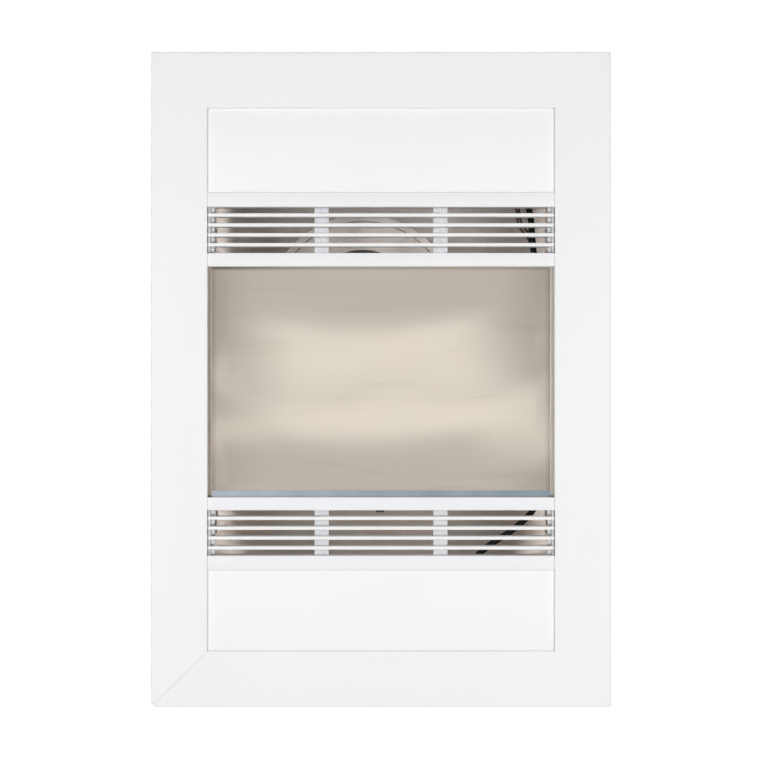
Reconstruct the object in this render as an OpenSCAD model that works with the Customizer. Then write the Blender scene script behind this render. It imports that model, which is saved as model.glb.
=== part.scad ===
// Bathroom heater exhaust fan: mitred trim frame, two bar grilles, polished centre plate,
// exhaust blower, crossflow heater blower and wiring in a sheet steel housing.
// Millimetres. The front faces -Y, +Z is up, and the wall plane that the flange rests on is y = 0.

/* [Trim frame] */
// Width over the trim frame
trim_w = 400; // [380:1:460]
// Height over the trim frame
trim_h = 570; // [560:1:620]
// Width of the flat face of each rail
trim_face = 48.5; // [46:0.5:56]
// Distance that the trim face stands proud of the wall
trim_depth = 16; // [16:0.5:24]
// Thickness of the rail's metal
trim_wall = 2; // [1.5:0.1:2.5]
// Depth of the lip round the opening
trim_lip = 8; // [5:0.5:10]
// Width of the slot behind each rail for corner keys and clips
slot_w = 18; // [14:0.5:22]
// Depth of that slot
slot_d = 2.4; // [2:0.1:3]
// Thickness of the slot's ribs and lips
rib_t = 1.2; // [1:0.1:1.5]
// Overhang of the slot's lips
rib_lip = 3; // [2:0.5:4]
// Hairline gap left at each mitre
mitre_gap = 0.3; // [0.1:0.1:0.6]
// Length of a corner key's arm
key_arm = 34; // [26:1:44]
// Radius of a corner key's grub screw
key_screw_r = 2; // [1.5:0.25:2.5]
// Distance of the side clips from the middle of the frame
clip_side_z = 130; // [90:1:170]
// Distance of the top and bottom clips from the middle of the frame
clip_top_x = 80; // [50:1:110]
// Length of a clip along its rail
clip_l = 14; // [10:1:20]

/* [Housing] */
// Depth of the housing behind the wall plane
housing_depth = 150; // [146:1:190]
// Thickness of the housing sheet
sheet_t = 1; // [0.8:0.1:1.5]
// Margin between the trim opening and the inside of the housing
housing_margin = 8.5; // [8:0.5:14]
// Gap between the flange and the trim's outer lip
flange_gap = 2; // [1:0.5:4]
// Distance of the fixing holes from the flange's side edges
fix_inset = 20; // [14:1:24]
// Distance between the fixing holes up the height
fix_pitch_z = 400; // [360:1:440]
// Radius of a fixing hole
fix_hole_r = 2.5; // [2:0.25:3.5]
// Gap at each welded corner of the housing
weld_gap = 0.1; // [0.05:0.05:0.3]
// Depth of the side channels
channel_d = 40; // [24:1:60]
// Width of the side channels' seat for the front pieces
channel_seat = 13; // [12:0.5:16]

/* [Grilles] */
// Height of each grille
grille_h = 63; // [58:1:70]
// Height of the rails above and below the blades
rail_h = 11.5; // [9:0.5:13]
// Distance that the rails stand in front of the wall plane
rail_d = 14; // [13:0.5:15]
// Wall of the hollow rails
rail_wall = 1.2; // [1:0.1:1.6]
// Number of blades in a grille
blade_count = 4; // [3:1:5]
// Thickness of a blade
blade_t = 3.2; // [2.4:0.1:3.6]
// Depth of a blade
blade_d = 10; // [8:0.5:10]
// Width of a cross-bar behind the blades
crossbar_w = 12.2; // [8:0.1:16]
// Distance of the cross-bars from the middle
crossbar_x = 52.2; // [40:0.1:60]
// Thickness of a cross-bar
crossbar_t = 3; // [2:0.25:3.5]
// Thickness of the end plates
end_plate_t = 2; // [1.5:0.1:2.5]
// Thickness of the leaf springs
spring_t = 0.8; // [0.6:0.1:1]
// Reach of the leaf springs behind the wall plane
spring_reach = 14; // [10:1:20]
// Gap between the trim opening and each front piece
front_gap = 0.5; // [0.3:0.1:0.8]

/* [Centre bay and fascias] */
// Height of the bay between the grilles
bay_h = 201; // [190:1:210]
// Distance of the bay below the middle of the frame
bay_drop = 1.3; // [0:0.1:2]
// Thickness of the polished plate
plate_t = 1; // [0.8:0.1:1.2]
// Distance from the wall plane to the edge channels' front
plate_front = 8; // [6:0.5:9]
// Visible width of the edge channels' lips
plate_lip = 2.6; // [2:0.1:4]
// Visible height of the ledge under the plate
ledge_h = 4.2; // [3:0.1:6]
// Sheet of the edge channels and the ledge
edge_t = 0.8; // [0.6:0.1:1]
// Distance from the wall plane to a fascia panel's front
fascia_d = 13; // [12:0.5:15]
// Sheet of the fascia panels
fascia_t = 1; // [0.8:0.1:1.2]
// Height of the tabs that grip the side channels
fascia_tab_h = 14; // [10:1:20]
// Distance between the two tabs on one side
fascia_tab_pitch = 40; // [30:1:46]
// Gap between a fascia panel and its grille
fascia_gap = 0.4; // [0.3:0.1:0.8]

/* [Exhaust blower] */
// Blower axis, right of the middle
blower_x = -17; // [-26:1:-8]
// Blower axis, above the middle
blower_z = 65; // [62:1:72]
// Depth of the scroll
scroll_d = 65; // [60:1:70]
// Standoff between the scroll and the back of the housing
scroll_foot = 14; // [12:1:24]
// Radius of the scroll where it starts
scroll_r0 = 64; // [62:0.5:66]
// Radius of the scroll where it ends
scroll_r1 = 86; // [80:0.5:87]
// Sheet of the scroll
scroll_t = 1.2; // [1:0.1:1.6]
// Radius of the round front plate
front_plate_r = 89; // [88.5:0.5:91]
// Width of the raised rim on the front plate
rim_w = 8; // [5:0.5:10]
// Height of that rim
rim_h = 3; // [2:0.5:5]
// Outer radius of the inlet ring
inlet_r = 55; // [52:0.5:58]
// Radius of the inlet's throat
throat_r = 44; // [40:0.5:45]
// Radius of the impeller
impeller_r = 57; // [54:0.5:58]
// Radial depth of the impeller's blades
impeller_blade = 10; // [8:0.5:10]
// Number of impeller blades
impeller_blades = 36; // [24:1:42]
// Depth of the impeller
impeller_d = 49; // [44:1:50]
// Radius of the exhaust motor
motor_r = 32; // [28:1:34]
// Length of the exhaust motor
motor_l = 34; // [28:1:35]
// Radius of the motor's shaft
shaft_r = 4; // [3:0.25:5]
// Radius of the circle of motor screws
motor_screw_pcr = 40; // [38:0.5:42]
// Radius of a motor screw
motor_screw_r = 2; // [1.5:0.25:2.5]

/* [Duct] */
// Outer radius of the duct spigot
spigot_r = 39; // [36:0.5:42]
// Length of the duct spigot
spigot_l = 44; // [42:1:60]
// Wall of the duct spigot
spigot_t = 1; // [0.8:0.1:1.5]
// Margin of the spigot's flange round its tube
spigot_flange = 4; // [3:0.5:4.5]
// Distance from the housing to the damper's pin
damper_x = 5; // [4.5:0.5:8]
// Radius of the damper's pin
pin_r = 1.5; // [1.25:0.05:2]
// Thickness of a damper flap
flap_t = 0.8; // [0.6:0.1:1]
// Gap between the flaps and the spigot's wall
flap_gap = 0.6; // [0.4:0.1:1]

/* [Heater] */
// Gap between the heater motor and the housing's side
heater_side_gap = 18.8; // [12:0.2:30]
// Running gap between the crossflow impeller and each end plate
cross_end_gap = 4; // [2:0.5:6]
// Radius of the crossflow impeller
cross_r = 25; // [23:0.5:25.5]
// Number of crossflow blades
cross_blades = 24; // [16:1:28]
// Depth of the crossflow axis behind the wall plane
cross_y = 72; // [68:1:76]
// Height of the crossflow axis above the partition
cross_up = 49; // [48:0.5:50]
// Radius of the crossflow shaft
cross_shaft_r = 3; // [2.5:0.25:4]
// Radius of the heater motor
heater_motor_r = 27; // [22:0.5:28]
// Length of the heater motor
heater_motor_l = 32; // [26:1:36]
// Sheet of the heater's end plates and casing
heater_t = 1.2; // [1:0.1:1.6]
// Gap between the crossflow rotor and its casing where the casing starts
casing_gap = 2.5; // [1.5:0.25:4]
// Widening of that gap along the casing
casing_spread = 8; // [6:0.5:9]
// Height of the front tongue below the crossflow axis
tongue_drop = 10; // [8:0.5:14]
// Wall of the ceramic heater's frame
ptc_wall = 4; // [3:0.25:5]
// Height of the ceramic heater
ptc_h = 14; // [10:0.5:16]
// Depth of the ceramic heater, front to back
ptc_d = 66; // [60:1:68]
// Number of heater bars
ptc_bars = 4; // [3:1:5]
// Number of fins along each heater bar
ptc_fins = 28; // [12:1:40]
// Gap between the bay's lower edge and the partition
partition_drop = 2; // [1:0.25:4]
// Radius of the thermal cut-out
cutout_r = 8; // [6:0.5:9]
// Height of the cut-out's body
cutout_h = 8; // [6:0.5:9]
// Depth of the cut-out's lower cap
cutout_cap = 9; // [6:0.5:10]
// Height of the air deflector's flat part above the opening's lower edge
deflector_up = 70.5; // [68:0.5:72]
// Length of the deflector's flat part, from the wall plane
deflector_flat = 38; // [30:1:50]

/* [Electrics] */
// Width of the terminal box
box_w = 80; // [60:1:100]
// Height of the terminal box
box_h = 52; // [44:1:54]
// Depth of the terminal box
box_d = 40; // [30:1:44]
// Wall of the terminal box
box_t = 2; // [1.5:0.1:3]
// Number of ways in the terminal block
block_ways = 6; // [3:1:7]
// Width of one way
block_way = 9; // [8:0.5:10]
// Height of the terminal block
block_h = 18; // [16:0.5:24]
// Depth of the terminal block
block_d = 14; // [12:0.5:18]
// Width of the run capacitor
cap_w = 48; // [30:1:56]
// Height of the run capacitor
cap_h = 28; // [24:1:32]
// Depth of the run capacitor
cap_d = 20; // [14:1:26]
// Radius of the hole through the cable gland
gland_bore_r = 3.5; // [3:0.25:4.5]
// Radius of the gland's thread
gland_r = 8; // [7:0.25:9]
// Length of a clip that holds the black lead
lead_clip_l = 8; // [6:0.5:12]
// Distance of the lead's clips from the middle of the frame
lead_clip_z = 45; // [40:1:60]
// Diameter of the black lead
lead_d = 5.6; // [4.6:0.1:5.8]
// Diameter of a motor wire
wire_d = 2.2; // [1.6:0.1:2.6]

/* [Hidden] */
$fn = 64;
// Clearances
running = 0.05;
snug = 0.02;
seat = 0.3;
slide_fit = 0.1;
// Distance that a cutting shape runs past what it cuts, and that joined shapes run into each other
over = 1;
// Trim frame and opening
opening_w = trim_w - 2*trim_face;
opening_h = trim_h - 2*trim_face;
face_back = -trim_depth + trim_wall;
slot_c = trim_face/2;
slot_open = slot_w - 2*rib_lip;
key_t = slot_d - 2*slide_fit;
key_w = slot_w - 4*slide_fit;
grub_from_corner = key_arm - 12;
grub_proud = 1;
grub_socket = 1.5;
rivet_r = 1.6;
rivet_head_t = 1;
rivet_up = 1;
// Housing
inner_x = opening_w/2 + housing_margin;
inner_z = opening_h/2 + housing_margin;
back_y = housing_depth - sheet_t;
flange_x = trim_w/2 - trim_wall - flange_gap;
flange_z = trim_h/2 - trim_wall - flange_gap;
fix_x = flange_x - fix_inset;
web_x = inner_x - sheet_t;
seat_x = inner_x - channel_seat;
// Front pieces
front_x = opening_w/2 - front_gap;
bay_z0 = -bay_drop - bay_h/2;
bay_z1 = -bay_drop + bay_h/2;
joint_gap = 0.3;
lower_grille_z0 = bay_z0 - joint_gap - grille_h;
upper_grille_z0 = bay_z1 + joint_gap;
blade_space = grille_h - 2*rail_h;
blade_pitch = (blade_space + blade_t)/(blade_count + 1);
blade_front = -crossbar_t - blade_d;
blade_end = front_x - end_plate_t;
spring_x = seat_x - seat;
spring_row = floor((blade_count + 1)/2);
spring_clear = 0.4;
spring_h = blade_pitch - blade_t - 2*spring_clear;
spring_root_y = -9;
spring_jog = [-2, -0.4];
plate_x = front_x - edge_t - 2*slide_fit;
plate_slot_back = -plate_front + edge_t + plate_t + 2*slide_fit;
ledge_z = bay_z0 + joint_gap;
fascia_z1 = opening_h/2 - front_gap;
upper_fascia_z0 = upper_grille_z0 + grille_h + fascia_gap;
lower_fascia_z1 = lower_grille_z0 - fascia_gap;
// Exhaust blower
scroll_y1 = back_y - scroll_foot;
scroll_y0 = scroll_y1 - scroll_d;
scroll_back = scroll_y1 - scroll_t;
scroll_start = 215;
scroll_sweep = 305;
scroll_steps = 48;
outlet_x = -inner_x + seat;
outlet_drop = 26;
outlet_top = blower_z - outlet_drop;
scroll_foot_r = 6;
shaft_room = 4;
rim_slope = 1;
inlet_bead = 4;
inlet_bead_flat = 0.7;
throat_t = 1.5;
throat_dip = 1.5;
inlet_seat_r = inlet_r - 4;
motor_lug_t = 3;
motor_lug_r = 7;
motor_boss = 2;
motor_edge = 4;
motor_boss_r = 0.45*motor_r;
motor_boss_root = 0.5*motor_r;
motor_y0 = scroll_back - motor_l;
shaft_in = 22;
screw_head_h = 3.2;
screw_foot_h = 2;
impeller_y1 = scroll_back - 7;
impeller_y0 = impeller_y1 - impeller_d;
impeller_ring = 1.5;
impeller_blade_t = 0.8;
blade_bite = 1;
blade_tip = 0.2;
hub_y = motor_y0 - 8;
hub_t = 4;
hub_wall = 5;
dish_r = motor_r + 6;
dish_t = 1.4;
dish_bend = 1;
dish_trim = 0.1;
nut_h = 6;
nut_w = 13;
shaft_end = 3;
// Duct
spigot_y = (scroll_y0 + scroll_y1)/2;
spigot_z = (outlet_top + blower_z - scroll_r1)/2;
spigot_x = -inner_x - sheet_t;
damper_at = spigot_x - damper_x;
flap_r = spigot_r - spigot_t - flap_gap;
knuckle_r = pin_r + 1.1;
knuckle_gap = 0.5;
knuckle_l = 20;
knuckle_pitch = knuckle_l + 1;
// Heater
partition_z = bay_z0 - partition_drop;
cross_z = partition_z + cross_up;
motor_plate_x = -inner_x + heater_side_gap + heater_motor_l;
end_x = -motor_plate_x - heater_t;
cross_l = 2*(end_x - cross_end_gap);
cross_discs = 6;
cross_disc_t = 1.2;
cross_blade = 6;
cross_blade_t = 0.6;
cross_blade_tip = 0.3;
cross_hub_l = 12;
cross_hub_wall = 3;
end_plate_margin = 4;
end_plate_lean = 3;
end_plate_front_drop = 2;
end_plate_rear_drop = 6;
ptc_y0 = cross_y - 28;
ptc_y1 = ptc_y0 + ptc_d;
ptc_z1 = partition_z + ptc_h;
casing_start = 75;
casing_turn = 95;
casing_steps = 20;
tongue_lip_r = 1.6;
heater_motor_edge = 5;
heater_motor_boss = 2;
heater_shaft_in = 6;
ptc_end_wall = 6;
ptc_bar_t = 3;
ptc_bar_inset = 1.5;
ptc_fin_t = 0.8;
bearing_r = cross_shaft_r + 4;
bearing_l = 8;
bearing_flange_t = 2;
cutout_x = -1;
cutout_y = ptc_y0 + 16;
cutout_ear = 12;
cutout_ear_t = 1.2;
cutout_ear_half = 2;
cutout_cap_r = 0.45*cutout_r;
cutout_strap = cutout_r + 9;
partition_front = 1.2;
partition_lip = 10;
partition_slot_w = 24.7;
partition_slot_front = 14;
partition_slot_back = channel_d + 4;
deflector_z = -opening_h/2 + deflector_up;
deflector_front = 2;
deflector_lip = 5;
deflector_rear = 9;
deflector_foot = 8;
lead_hole_x = 84;
lead_hole_y = 32;
lead_hole_r = 8;
// Electrics
box_x = -18;
box_z = -opening_h/2 + 28;
box_front = back_y - box_d;
box_entry_y = 126;
box_entry_r = 5;
clamp_r = 2.2;
clamp_z = 4.5;
clamp_deep = 6;
wire_way_r = 1.8;
wire_way_l = 8;
wire_way_inset = 3;
wire_way_up = 5;
lid_rim_h = 2;
lid_screw_r = 3.5;
lid_screw_h = 2;
cap_x = 84;
cap_z = opening_h/2 - 38;
gland_x = -18;
gland_y = 90;
gland_nut_r = 1.5*gland_r;
gland_cap_r = 1.2*gland_r;
gland_thread_up = 11;
gland_nut_h = 5;
gland_head_h = 4;
gland_cap_l = 13;
gland_cap_join = 3;
cap_lug = 9;
cap_lug_t = 2;
cap_lug_half = 6;
lead_clip_wall = 1.6;
lead_clip_foot = 9;
lead_clip_neck = 3;
lead_clip_point = 19;
// Route of the black lead, from the terminal box to the capacitor
lead_points = [
    [9, 138, -206], [16, 138, -206], [25, 137.5, -206], [36, 134, -205.5], [48, 124, -204],
    [60, 106, -200], [68, 84, -193],
    [74, 62, -184], [78, 44, -175], [82, 32, -165], [89, 26, -155.5], [101, 25, -146],
    [114, 25.5, -137.5], [126, 26.5, -128.5], [136, 28, -118], [144, 29, -105],
    [148, 30, -90], [149.5, 30, -70],
    [150, 30, -50], [150, 30, -30], [150, 30, -10], [150, 30, 10], [150, 30, 30],
    [150, 30, 50], [149, 30, 68], [145, 29, 84], [140.5, 28, 100], [137, 27, 116],
    [135.6, 27, 132], [134, 28, 148], [130, 32, 163], [122, 42, 176], [113, 58, 186],
    [105, 78, 192], [99, 98, 195], [96, 114, 196.5], [96, 129, 196.5]];
// Routes of the two motor wires, from the capacitor to the motor
wire_points = [
    [104, 129, 196.5], [104, 119, 196.5], [107, 108, 196], [114, 97, 194], [119, 84, 190],
    [123, 66, 181], [125, 48, 168],
    [125, 38, 154], [126, 34, 144], [129, 33, 137.5], [134, 36, 132], [138, 43, 126],
    [140.5, 49, 117], [141.5, 56, 108], [140, 65, 99], [135, 77, 91], [127, 92, 83],
    [119, 108, 77], [107, 127, 71], [90, 139, 67],
    [70, 142.2, 66], [48, 142.2, 65.5], [26, 142.2, 65], [8, 142.2, 65], [-4, 141.6, 65],
    [-10.5, 140, 65], [-13, 137.4, 65], [-13, 133.8, 65]];
second_wire = [-2.2, 0, -2.6];

// A block given by its lowest and highest corners
module block(low, high) {
    translate(low) cube(high - low);
}

// Extrudes an outline drawn in X and Z from y0 to y1
module along_y(y0, y1) {
    translate([0, y1, 0]) rotate([90, 0, 0]) linear_extrude(y1 - y0) children();
}

// Extrudes an outline drawn in Y and Z from x0 to x1
module along_x(x0, x1) {
    translate([x0, 0, 0]) rotate([90, 0, 90]) linear_extrude(x1 - x0) children();
}

// Turns an outline drawn in radius and Y about an axis along Y
module spun_y(x, z) {
    translate([x, 0, z]) rotate([-90, 0, 0]) rotate_extrude() children();
}

// A round bar along Y from y0 to y1
module bar_y(r, x, z, y0, y1, sides = $fn) {
    translate([x, y0, z]) rotate([-90, 0, 0]) cylinder(h = y1 - y0, r = r, $fn = sides);
}

// A round bar along X from x0 to x1
module bar_x(r, y, z, x0, x1) {
    translate([x0, y, z]) rotate([0, 90, 0]) cylinder(h = x1 - x0, r = r);
}

// A rectangle given by its lowest and highest corners
module rect(low, high) {
    translate(low) square(high - low);
}

// Section of a trim rail: u runs inwards from the outer edge, v is y
module rail_section() {
    rect([0, -trim_depth], [trim_face, face_back]);
    rect([0, -trim_depth], [trim_wall, 0]);
    rect([trim_face - trim_wall, -trim_depth], [trim_face, -trim_depth + trim_lip]);
    for (side = [-1, 1]) {
        translate([slot_c, 0]) scale([side, 1]) slot_rib();
    }
}

// One rib of the slot, with its lip
module slot_rib() {
    rect([slot_w/2, face_back], [slot_w/2 + rib_t, face_back + slot_d + rib_t]);
    rect([slot_open/2, face_back + slot_d], [slot_w/2 + rib_t, face_back + slot_d + rib_t]);
}

// Outline that mitres a rail along the upper edge of a frame: reach is the depth of the mitre
module mitre_outline(w, h, reach, cut) {
    polygon([[-w/2 + cut, h/2], [w/2 - cut, h/2], [w/2 - cut - reach, h/2 - reach],
        [-w/2 + cut + reach, h/2 - reach]]);
}

// A mitred rail that lies along the upper edge of a frame of the given width and height
module mitred_rail(w, h) {
    cut = mitre_gap/sqrt(2);
    intersection() {
        along_x(-w/2, w/2) translate([0, h/2]) rotate(-90) rail_section();
        along_y(-trim_depth - over, over) mitre_outline(w, h, trim_face + over, cut);
    }
}

module trim_rail_top() {
    color("#f3f3f3") mitred_rail(trim_w, trim_h);
}

module trim_rail_bottom() {
    color("#f3f3f3") rotate([0, 180, 0]) mitred_rail(trim_w, trim_h);
}

module trim_rail_left() {
    color("#f3f3f3") rotate([0, -90, 0]) mitred_rail(trim_h, trim_w);
}

module trim_rail_right() {
    color("#f3f3f3") rotate([0, 90, 0]) mitred_rail(trim_h, trim_w);
}

// Puts a child at each corner, where the slots of two rails meet
module at_corners() {
    for (sx = [-1, 1], sz = [-1, 1]) {
        scale([sx, 1, sz]) translate([trim_w/2 - slot_c, 0, trim_h/2 - slot_c]) children();
    }
}

module corner_keys() {
    color("#b9bcc0") at_corners() corner_key();
}

module corner_key() {
    half = key_w/2;
    difference() {
        along_y(face_back + slide_fit, face_back + slide_fit + key_t)
            polygon([[half, half], [-key_arm, half], [-key_arm, -half], [-half, -half],
                [-half, -key_arm], [half, -key_arm]]);
        bar_y(key_screw_r + snug, -grub_from_corner, 0, face_back, 0);
        bar_y(key_screw_r + snug, 0, -grub_from_corner, face_back, 0);
    }
}

module corner_key_screws() {
    color("#8d9094") at_corners() {
        grub_screw(-grub_from_corner, 0);
        grub_screw(0, -grub_from_corner);
    }
}

// A grub screw with a hexagon socket in its free end
module grub_screw(x, z) {
    length = key_t + grub_proud;
    difference() {
        bar_y(key_screw_r, x, z, face_back, face_back + length);
        bar_y(key_screw_r*0.55, x, z, face_back + length - grub_socket, face_back + length + over, 6);
    }
}

// Puts a child at each clip: in the child, u runs along X, the rail runs along Z
module at_clips() {
    for (sx = [-1, 1], sz = [-1, 1]) {
        translate([sx*(trim_w/2 - slot_c), 0, sz*clip_side_z]) children();
        translate([sx*clip_top_x, 0, sz*(trim_h/2 - slot_c)]) rotate([0, 90, 0]) children();
    }
}

module trim_clips() {
    color("#c3c6ca") at_clips() trim_clip();
}

module trim_clip() {
    neck_w = slot_open - 2*seat;
    difference() {
        union() {
            block([-key_w/2, face_back + slide_fit, -clip_l/2],
                [key_w/2, face_back + slide_fit + key_t, clip_l/2]);
            block([-neck_w/2, face_back + slide_fit, -clip_l/2],
                [neck_w/2, -sheet_t, -clip_l/2 + rib_t]);
            block([-neck_w/2, -sheet_t - rib_t, -clip_l/2], [neck_w/2, -sheet_t, clip_l/2]);
        }
        bar_y(rivet_r + snug, 0, rivet_up, -sheet_t - rib_t - over, over);
    }
}

module trim_clip_rivets() {
    head_y = -sheet_t - rib_t - rivet_head_t;
    color("#a7aaae") at_clips() {
        bar_y(rivet_r, 0, rivet_up, head_y, 0);
        bar_y(rivet_r*2, 0, rivet_up, head_y, head_y + rivet_head_t);
    }
}

// Flat back of the housing, welded to the four folded walls
module housing_back() {
    color("#b5b2ac") block([-inner_x - sheet_t, back_y, -inner_z - sheet_t],
        [inner_x + sheet_t, housing_depth, inner_z + sheet_t]);
}

// A wall along the upper edge of a housing of the given flange size, folded outwards into its flange
module housing_wall(w, h) {
    reach = flange_x - inner_x;
    intersection() {
        along_x(-w/2, w/2) {
            rect([-sheet_t, h/2 - reach], [0, h/2]);
            rect([-sheet_t, h/2 - reach], [back_y, h/2 - reach + sheet_t]);
        }
        along_y(-sheet_t - over, housing_depth) mitre_outline(w, h, reach + over, weld_gap/2);
    }
}

module housing_sides() {
    color("#b5b2ac") difference() {
        for (turn = [-90, 90]) {
            rotate([0, turn, 0]) housing_wall(2*flange_z, 2*flange_x);
        }
        flange_holes();
        bar_x(spigot_r - spigot_t, spigot_y, spigot_z, spigot_x - over, -inner_x + over);
    }
}

module housing_ends() {
    color("#b5b2ac") difference() {
        for (turn = [0, 180]) {
            rotate([0, turn, 0]) housing_wall(2*flange_x, 2*flange_z);
        }
        flange_holes();
        translate([gland_x, gland_y, -inner_z - sheet_t - over])
            cylinder(h = sheet_t + 2*over, r = gland_r + slide_fit);
    }
}

// Holes for the fixing screws and the clip rivets
module flange_holes() {
    for (sx = [-1, 1], sz = [-1, 1]) {
        bar_y(fix_hole_r, sx*fix_x, sz*fix_pitch_z/2, -sheet_t - over, over);
    }
    at_clips() bar_y(rivet_r + snug, 0, rivet_up, -sheet_t - over, over);
}

// Channels down both sides that the front pieces seat on
module side_channels() {
    half = opening_h/2 - front_gap;
    color("#c9ccd0") for (side = [0, 1]) {
        mirror([side, 0, 0]) {
            block([web_x, 0, -half], [inner_x, channel_d, half]);
            block([seat_x, 0, -half], [inner_x, sheet_t, half]);
        }
    }
}

// A channel that holds one edge of the centre plate
module plate_channel() {
    color("#d5d5d3") along_channel() {
        rect([front_x - edge_t, -plate_front], [front_x, 0]);
        rect([front_x - plate_lip, -plate_front], [front_x, -plate_front + edge_t]);
        rect([front_x - plate_lip, plate_slot_back], [front_x, plate_slot_back + edge_t]);
    }
}

module along_channel() {
    translate([0, 0, ledge_z]) linear_extrude(bay_h - 2*joint_gap) children();
}

module plate_channel_right() {
    plate_channel();
}

module plate_channel_left() {
    mirror([1, 0, 0]) plate_channel();
}

module plate_ledge() {
    reach = front_x - plate_lip - slide_fit;
    color("#a6abb2") along_x(-reach, reach) {
        rect([-plate_front, ledge_z], [0, ledge_z + edge_t]);
        rect([-plate_front, ledge_z], [-plate_front + edge_t, ledge_z + ledge_h]);
        rect([plate_slot_back, ledge_z], [plate_slot_back + edge_t, ledge_z + ledge_h]);
    }
}

module centre_plate() {
    front = -plate_front + edge_t + slide_fit;
    color("#cfc4b6") block([-plate_x, front, ledge_z + edge_t + slide_fit],
        [plate_x, front + plate_t, bay_z1 - joint_gap]);
}

// A folded tray between two heights, open at the back, with gripping tabs
module fascia_panel(z0, z1) {
    middle = (z0 + z1)/2;
    color("#f6f6f6") {
        difference() {
            block([-front_x, -fascia_d, z0], [front_x, 0, z1]);
            block([-front_x + fascia_t, -fascia_d + fascia_t, z0 + fascia_t],
                [front_x - fascia_t, over, z1 - fascia_t]);
        }
        for (side = [0, 1], end = [-1, 1]) {
            mirror([side, 0, 0]) translate([0, 0, middle + end*fascia_tab_pitch/2 - fascia_tab_h/2])
                linear_extrude(fascia_tab_h) spring_outline(front_x - fascia_t, -fascia_d + fascia_t);
        }
    }
}

module upper_fascia_panel() {
    fascia_panel(upper_fascia_z0, fascia_z1);
}

module lower_fascia_panel() {
    fascia_panel(-fascia_z1, lower_fascia_z1);
}

// A leaf that starts flat on a wall at x = wall_x and runs back beside the channel's seat
module spring_outline(wall_x, front_y) {
    polygon([[wall_x, front_y], [wall_x, spring_jog[0]], [spring_x, spring_jog[1]],
        [spring_x, spring_reach], [spring_x - spring_t, spring_reach],
        [spring_x - spring_t, spring_jog[1] - spring_t/2],
        [wall_x - spring_t, spring_jog[0] - spring_t/2], [wall_x - spring_t, front_y]]);
}

// Hollow rails above and below the blades
module grille_rails(z0) {
    color("#f1f1f3") for (low = [z0, z0 + grille_h - rail_h]) {
        difference() {
            block([-front_x, -rail_d, low], [front_x, 0, low + rail_h]);
            block([-front_x - over, -rail_d + rail_wall, low + rail_wall],
                [front_x + over, -rail_wall, low + rail_h - rail_wall]);
        }
    }
}

module grille_blades(z0) {
    color("#fbfbfa") for (i = [1 : blade_count]) {
        low = z0 + rail_h + i*blade_pitch - blade_t;
        block([-blade_end, blade_front, low], [blade_end, -crossbar_t, low + blade_t]);
    }
}

module grille_crossbars(z0) {
    color("#dddde1") for (side = [-1, 1]) {
        x = side*crossbar_x;
        block([x - crossbar_w/2, -crossbar_t, z0 + rail_h],
            [x + crossbar_w/2, 0, z0 + grille_h - rail_h]);
    }
}

module grille_end_plates(z0) {
    color("#b4b5b8") for (side = [0, 1]) {
        mirror([side, 0, 0]) block([blade_end, -rail_d + rail_wall, z0 + rail_h],
            [front_x, 0, z0 + grille_h - rail_h]);
    }
}

module grille_springs(z0) {
    low = z0 + rail_h + spring_row*blade_pitch + spring_clear;
    color("#9fa3a8") for (side = [0, 1]) {
        mirror([side, 0, 0]) translate([0, 0, low])
            linear_extrude(spring_h) spring_outline(blade_end, spring_root_y);
    }
}

module upper_grille_rails() { grille_rails(upper_grille_z0); }
module upper_grille_blades() { grille_blades(upper_grille_z0); }
module upper_grille_crossbars() { grille_crossbars(upper_grille_z0); }
module upper_grille_end_plates() { grille_end_plates(upper_grille_z0); }
module upper_grille_springs() { grille_springs(upper_grille_z0); }
module lower_grille_rails() { grille_rails(lower_grille_z0); }
module lower_grille_blades() { grille_blades(lower_grille_z0); }
module lower_grille_crossbars() { grille_crossbars(lower_grille_z0); }
module lower_grille_end_plates() { grille_end_plates(lower_grille_z0); }
module lower_grille_springs() { grille_springs(lower_grille_z0); }

// Outline of the scroll and its outlet, grown by a wall
function scroll_outline(grow, left) = concat(
    [for (i = [0 : scroll_steps])
        let (a = scroll_start - scroll_sweep*i/scroll_steps,
            r = scroll_r0 + (scroll_r1 - scroll_r0)*i/scroll_steps + grow)
        [blower_x + r*cos(a), blower_z + r*sin(a)]],
    [[left, blower_z - scroll_r1 - grow], [left, outlet_top + grow]]);

module blower_scroll() {
    color("#b9b6b0") {
        difference() {
            along_y(scroll_y0, scroll_y1) polygon(scroll_outline(scroll_t, outlet_x));
            along_y(scroll_y0 - over, scroll_back) polygon(scroll_outline(0, outlet_x - over));
            bar_y(shaft_r + shaft_room, blower_x, blower_z, scroll_back - over, scroll_y1 + over);
            at_motor_screws() bar_y(motor_screw_r + snug, 0, 0, scroll_back - over, scroll_y1 + over);
        }
        for (a = [45 : 90 : 315]) {
            translate([blower_x, 0, blower_z]) rotate([0, -a, 0])
                bar_y(scroll_foot_r, scroll_r0 - 2*scroll_foot_r, 0, scroll_y1 - scroll_t/2, back_y);
        }
    }
}

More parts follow.
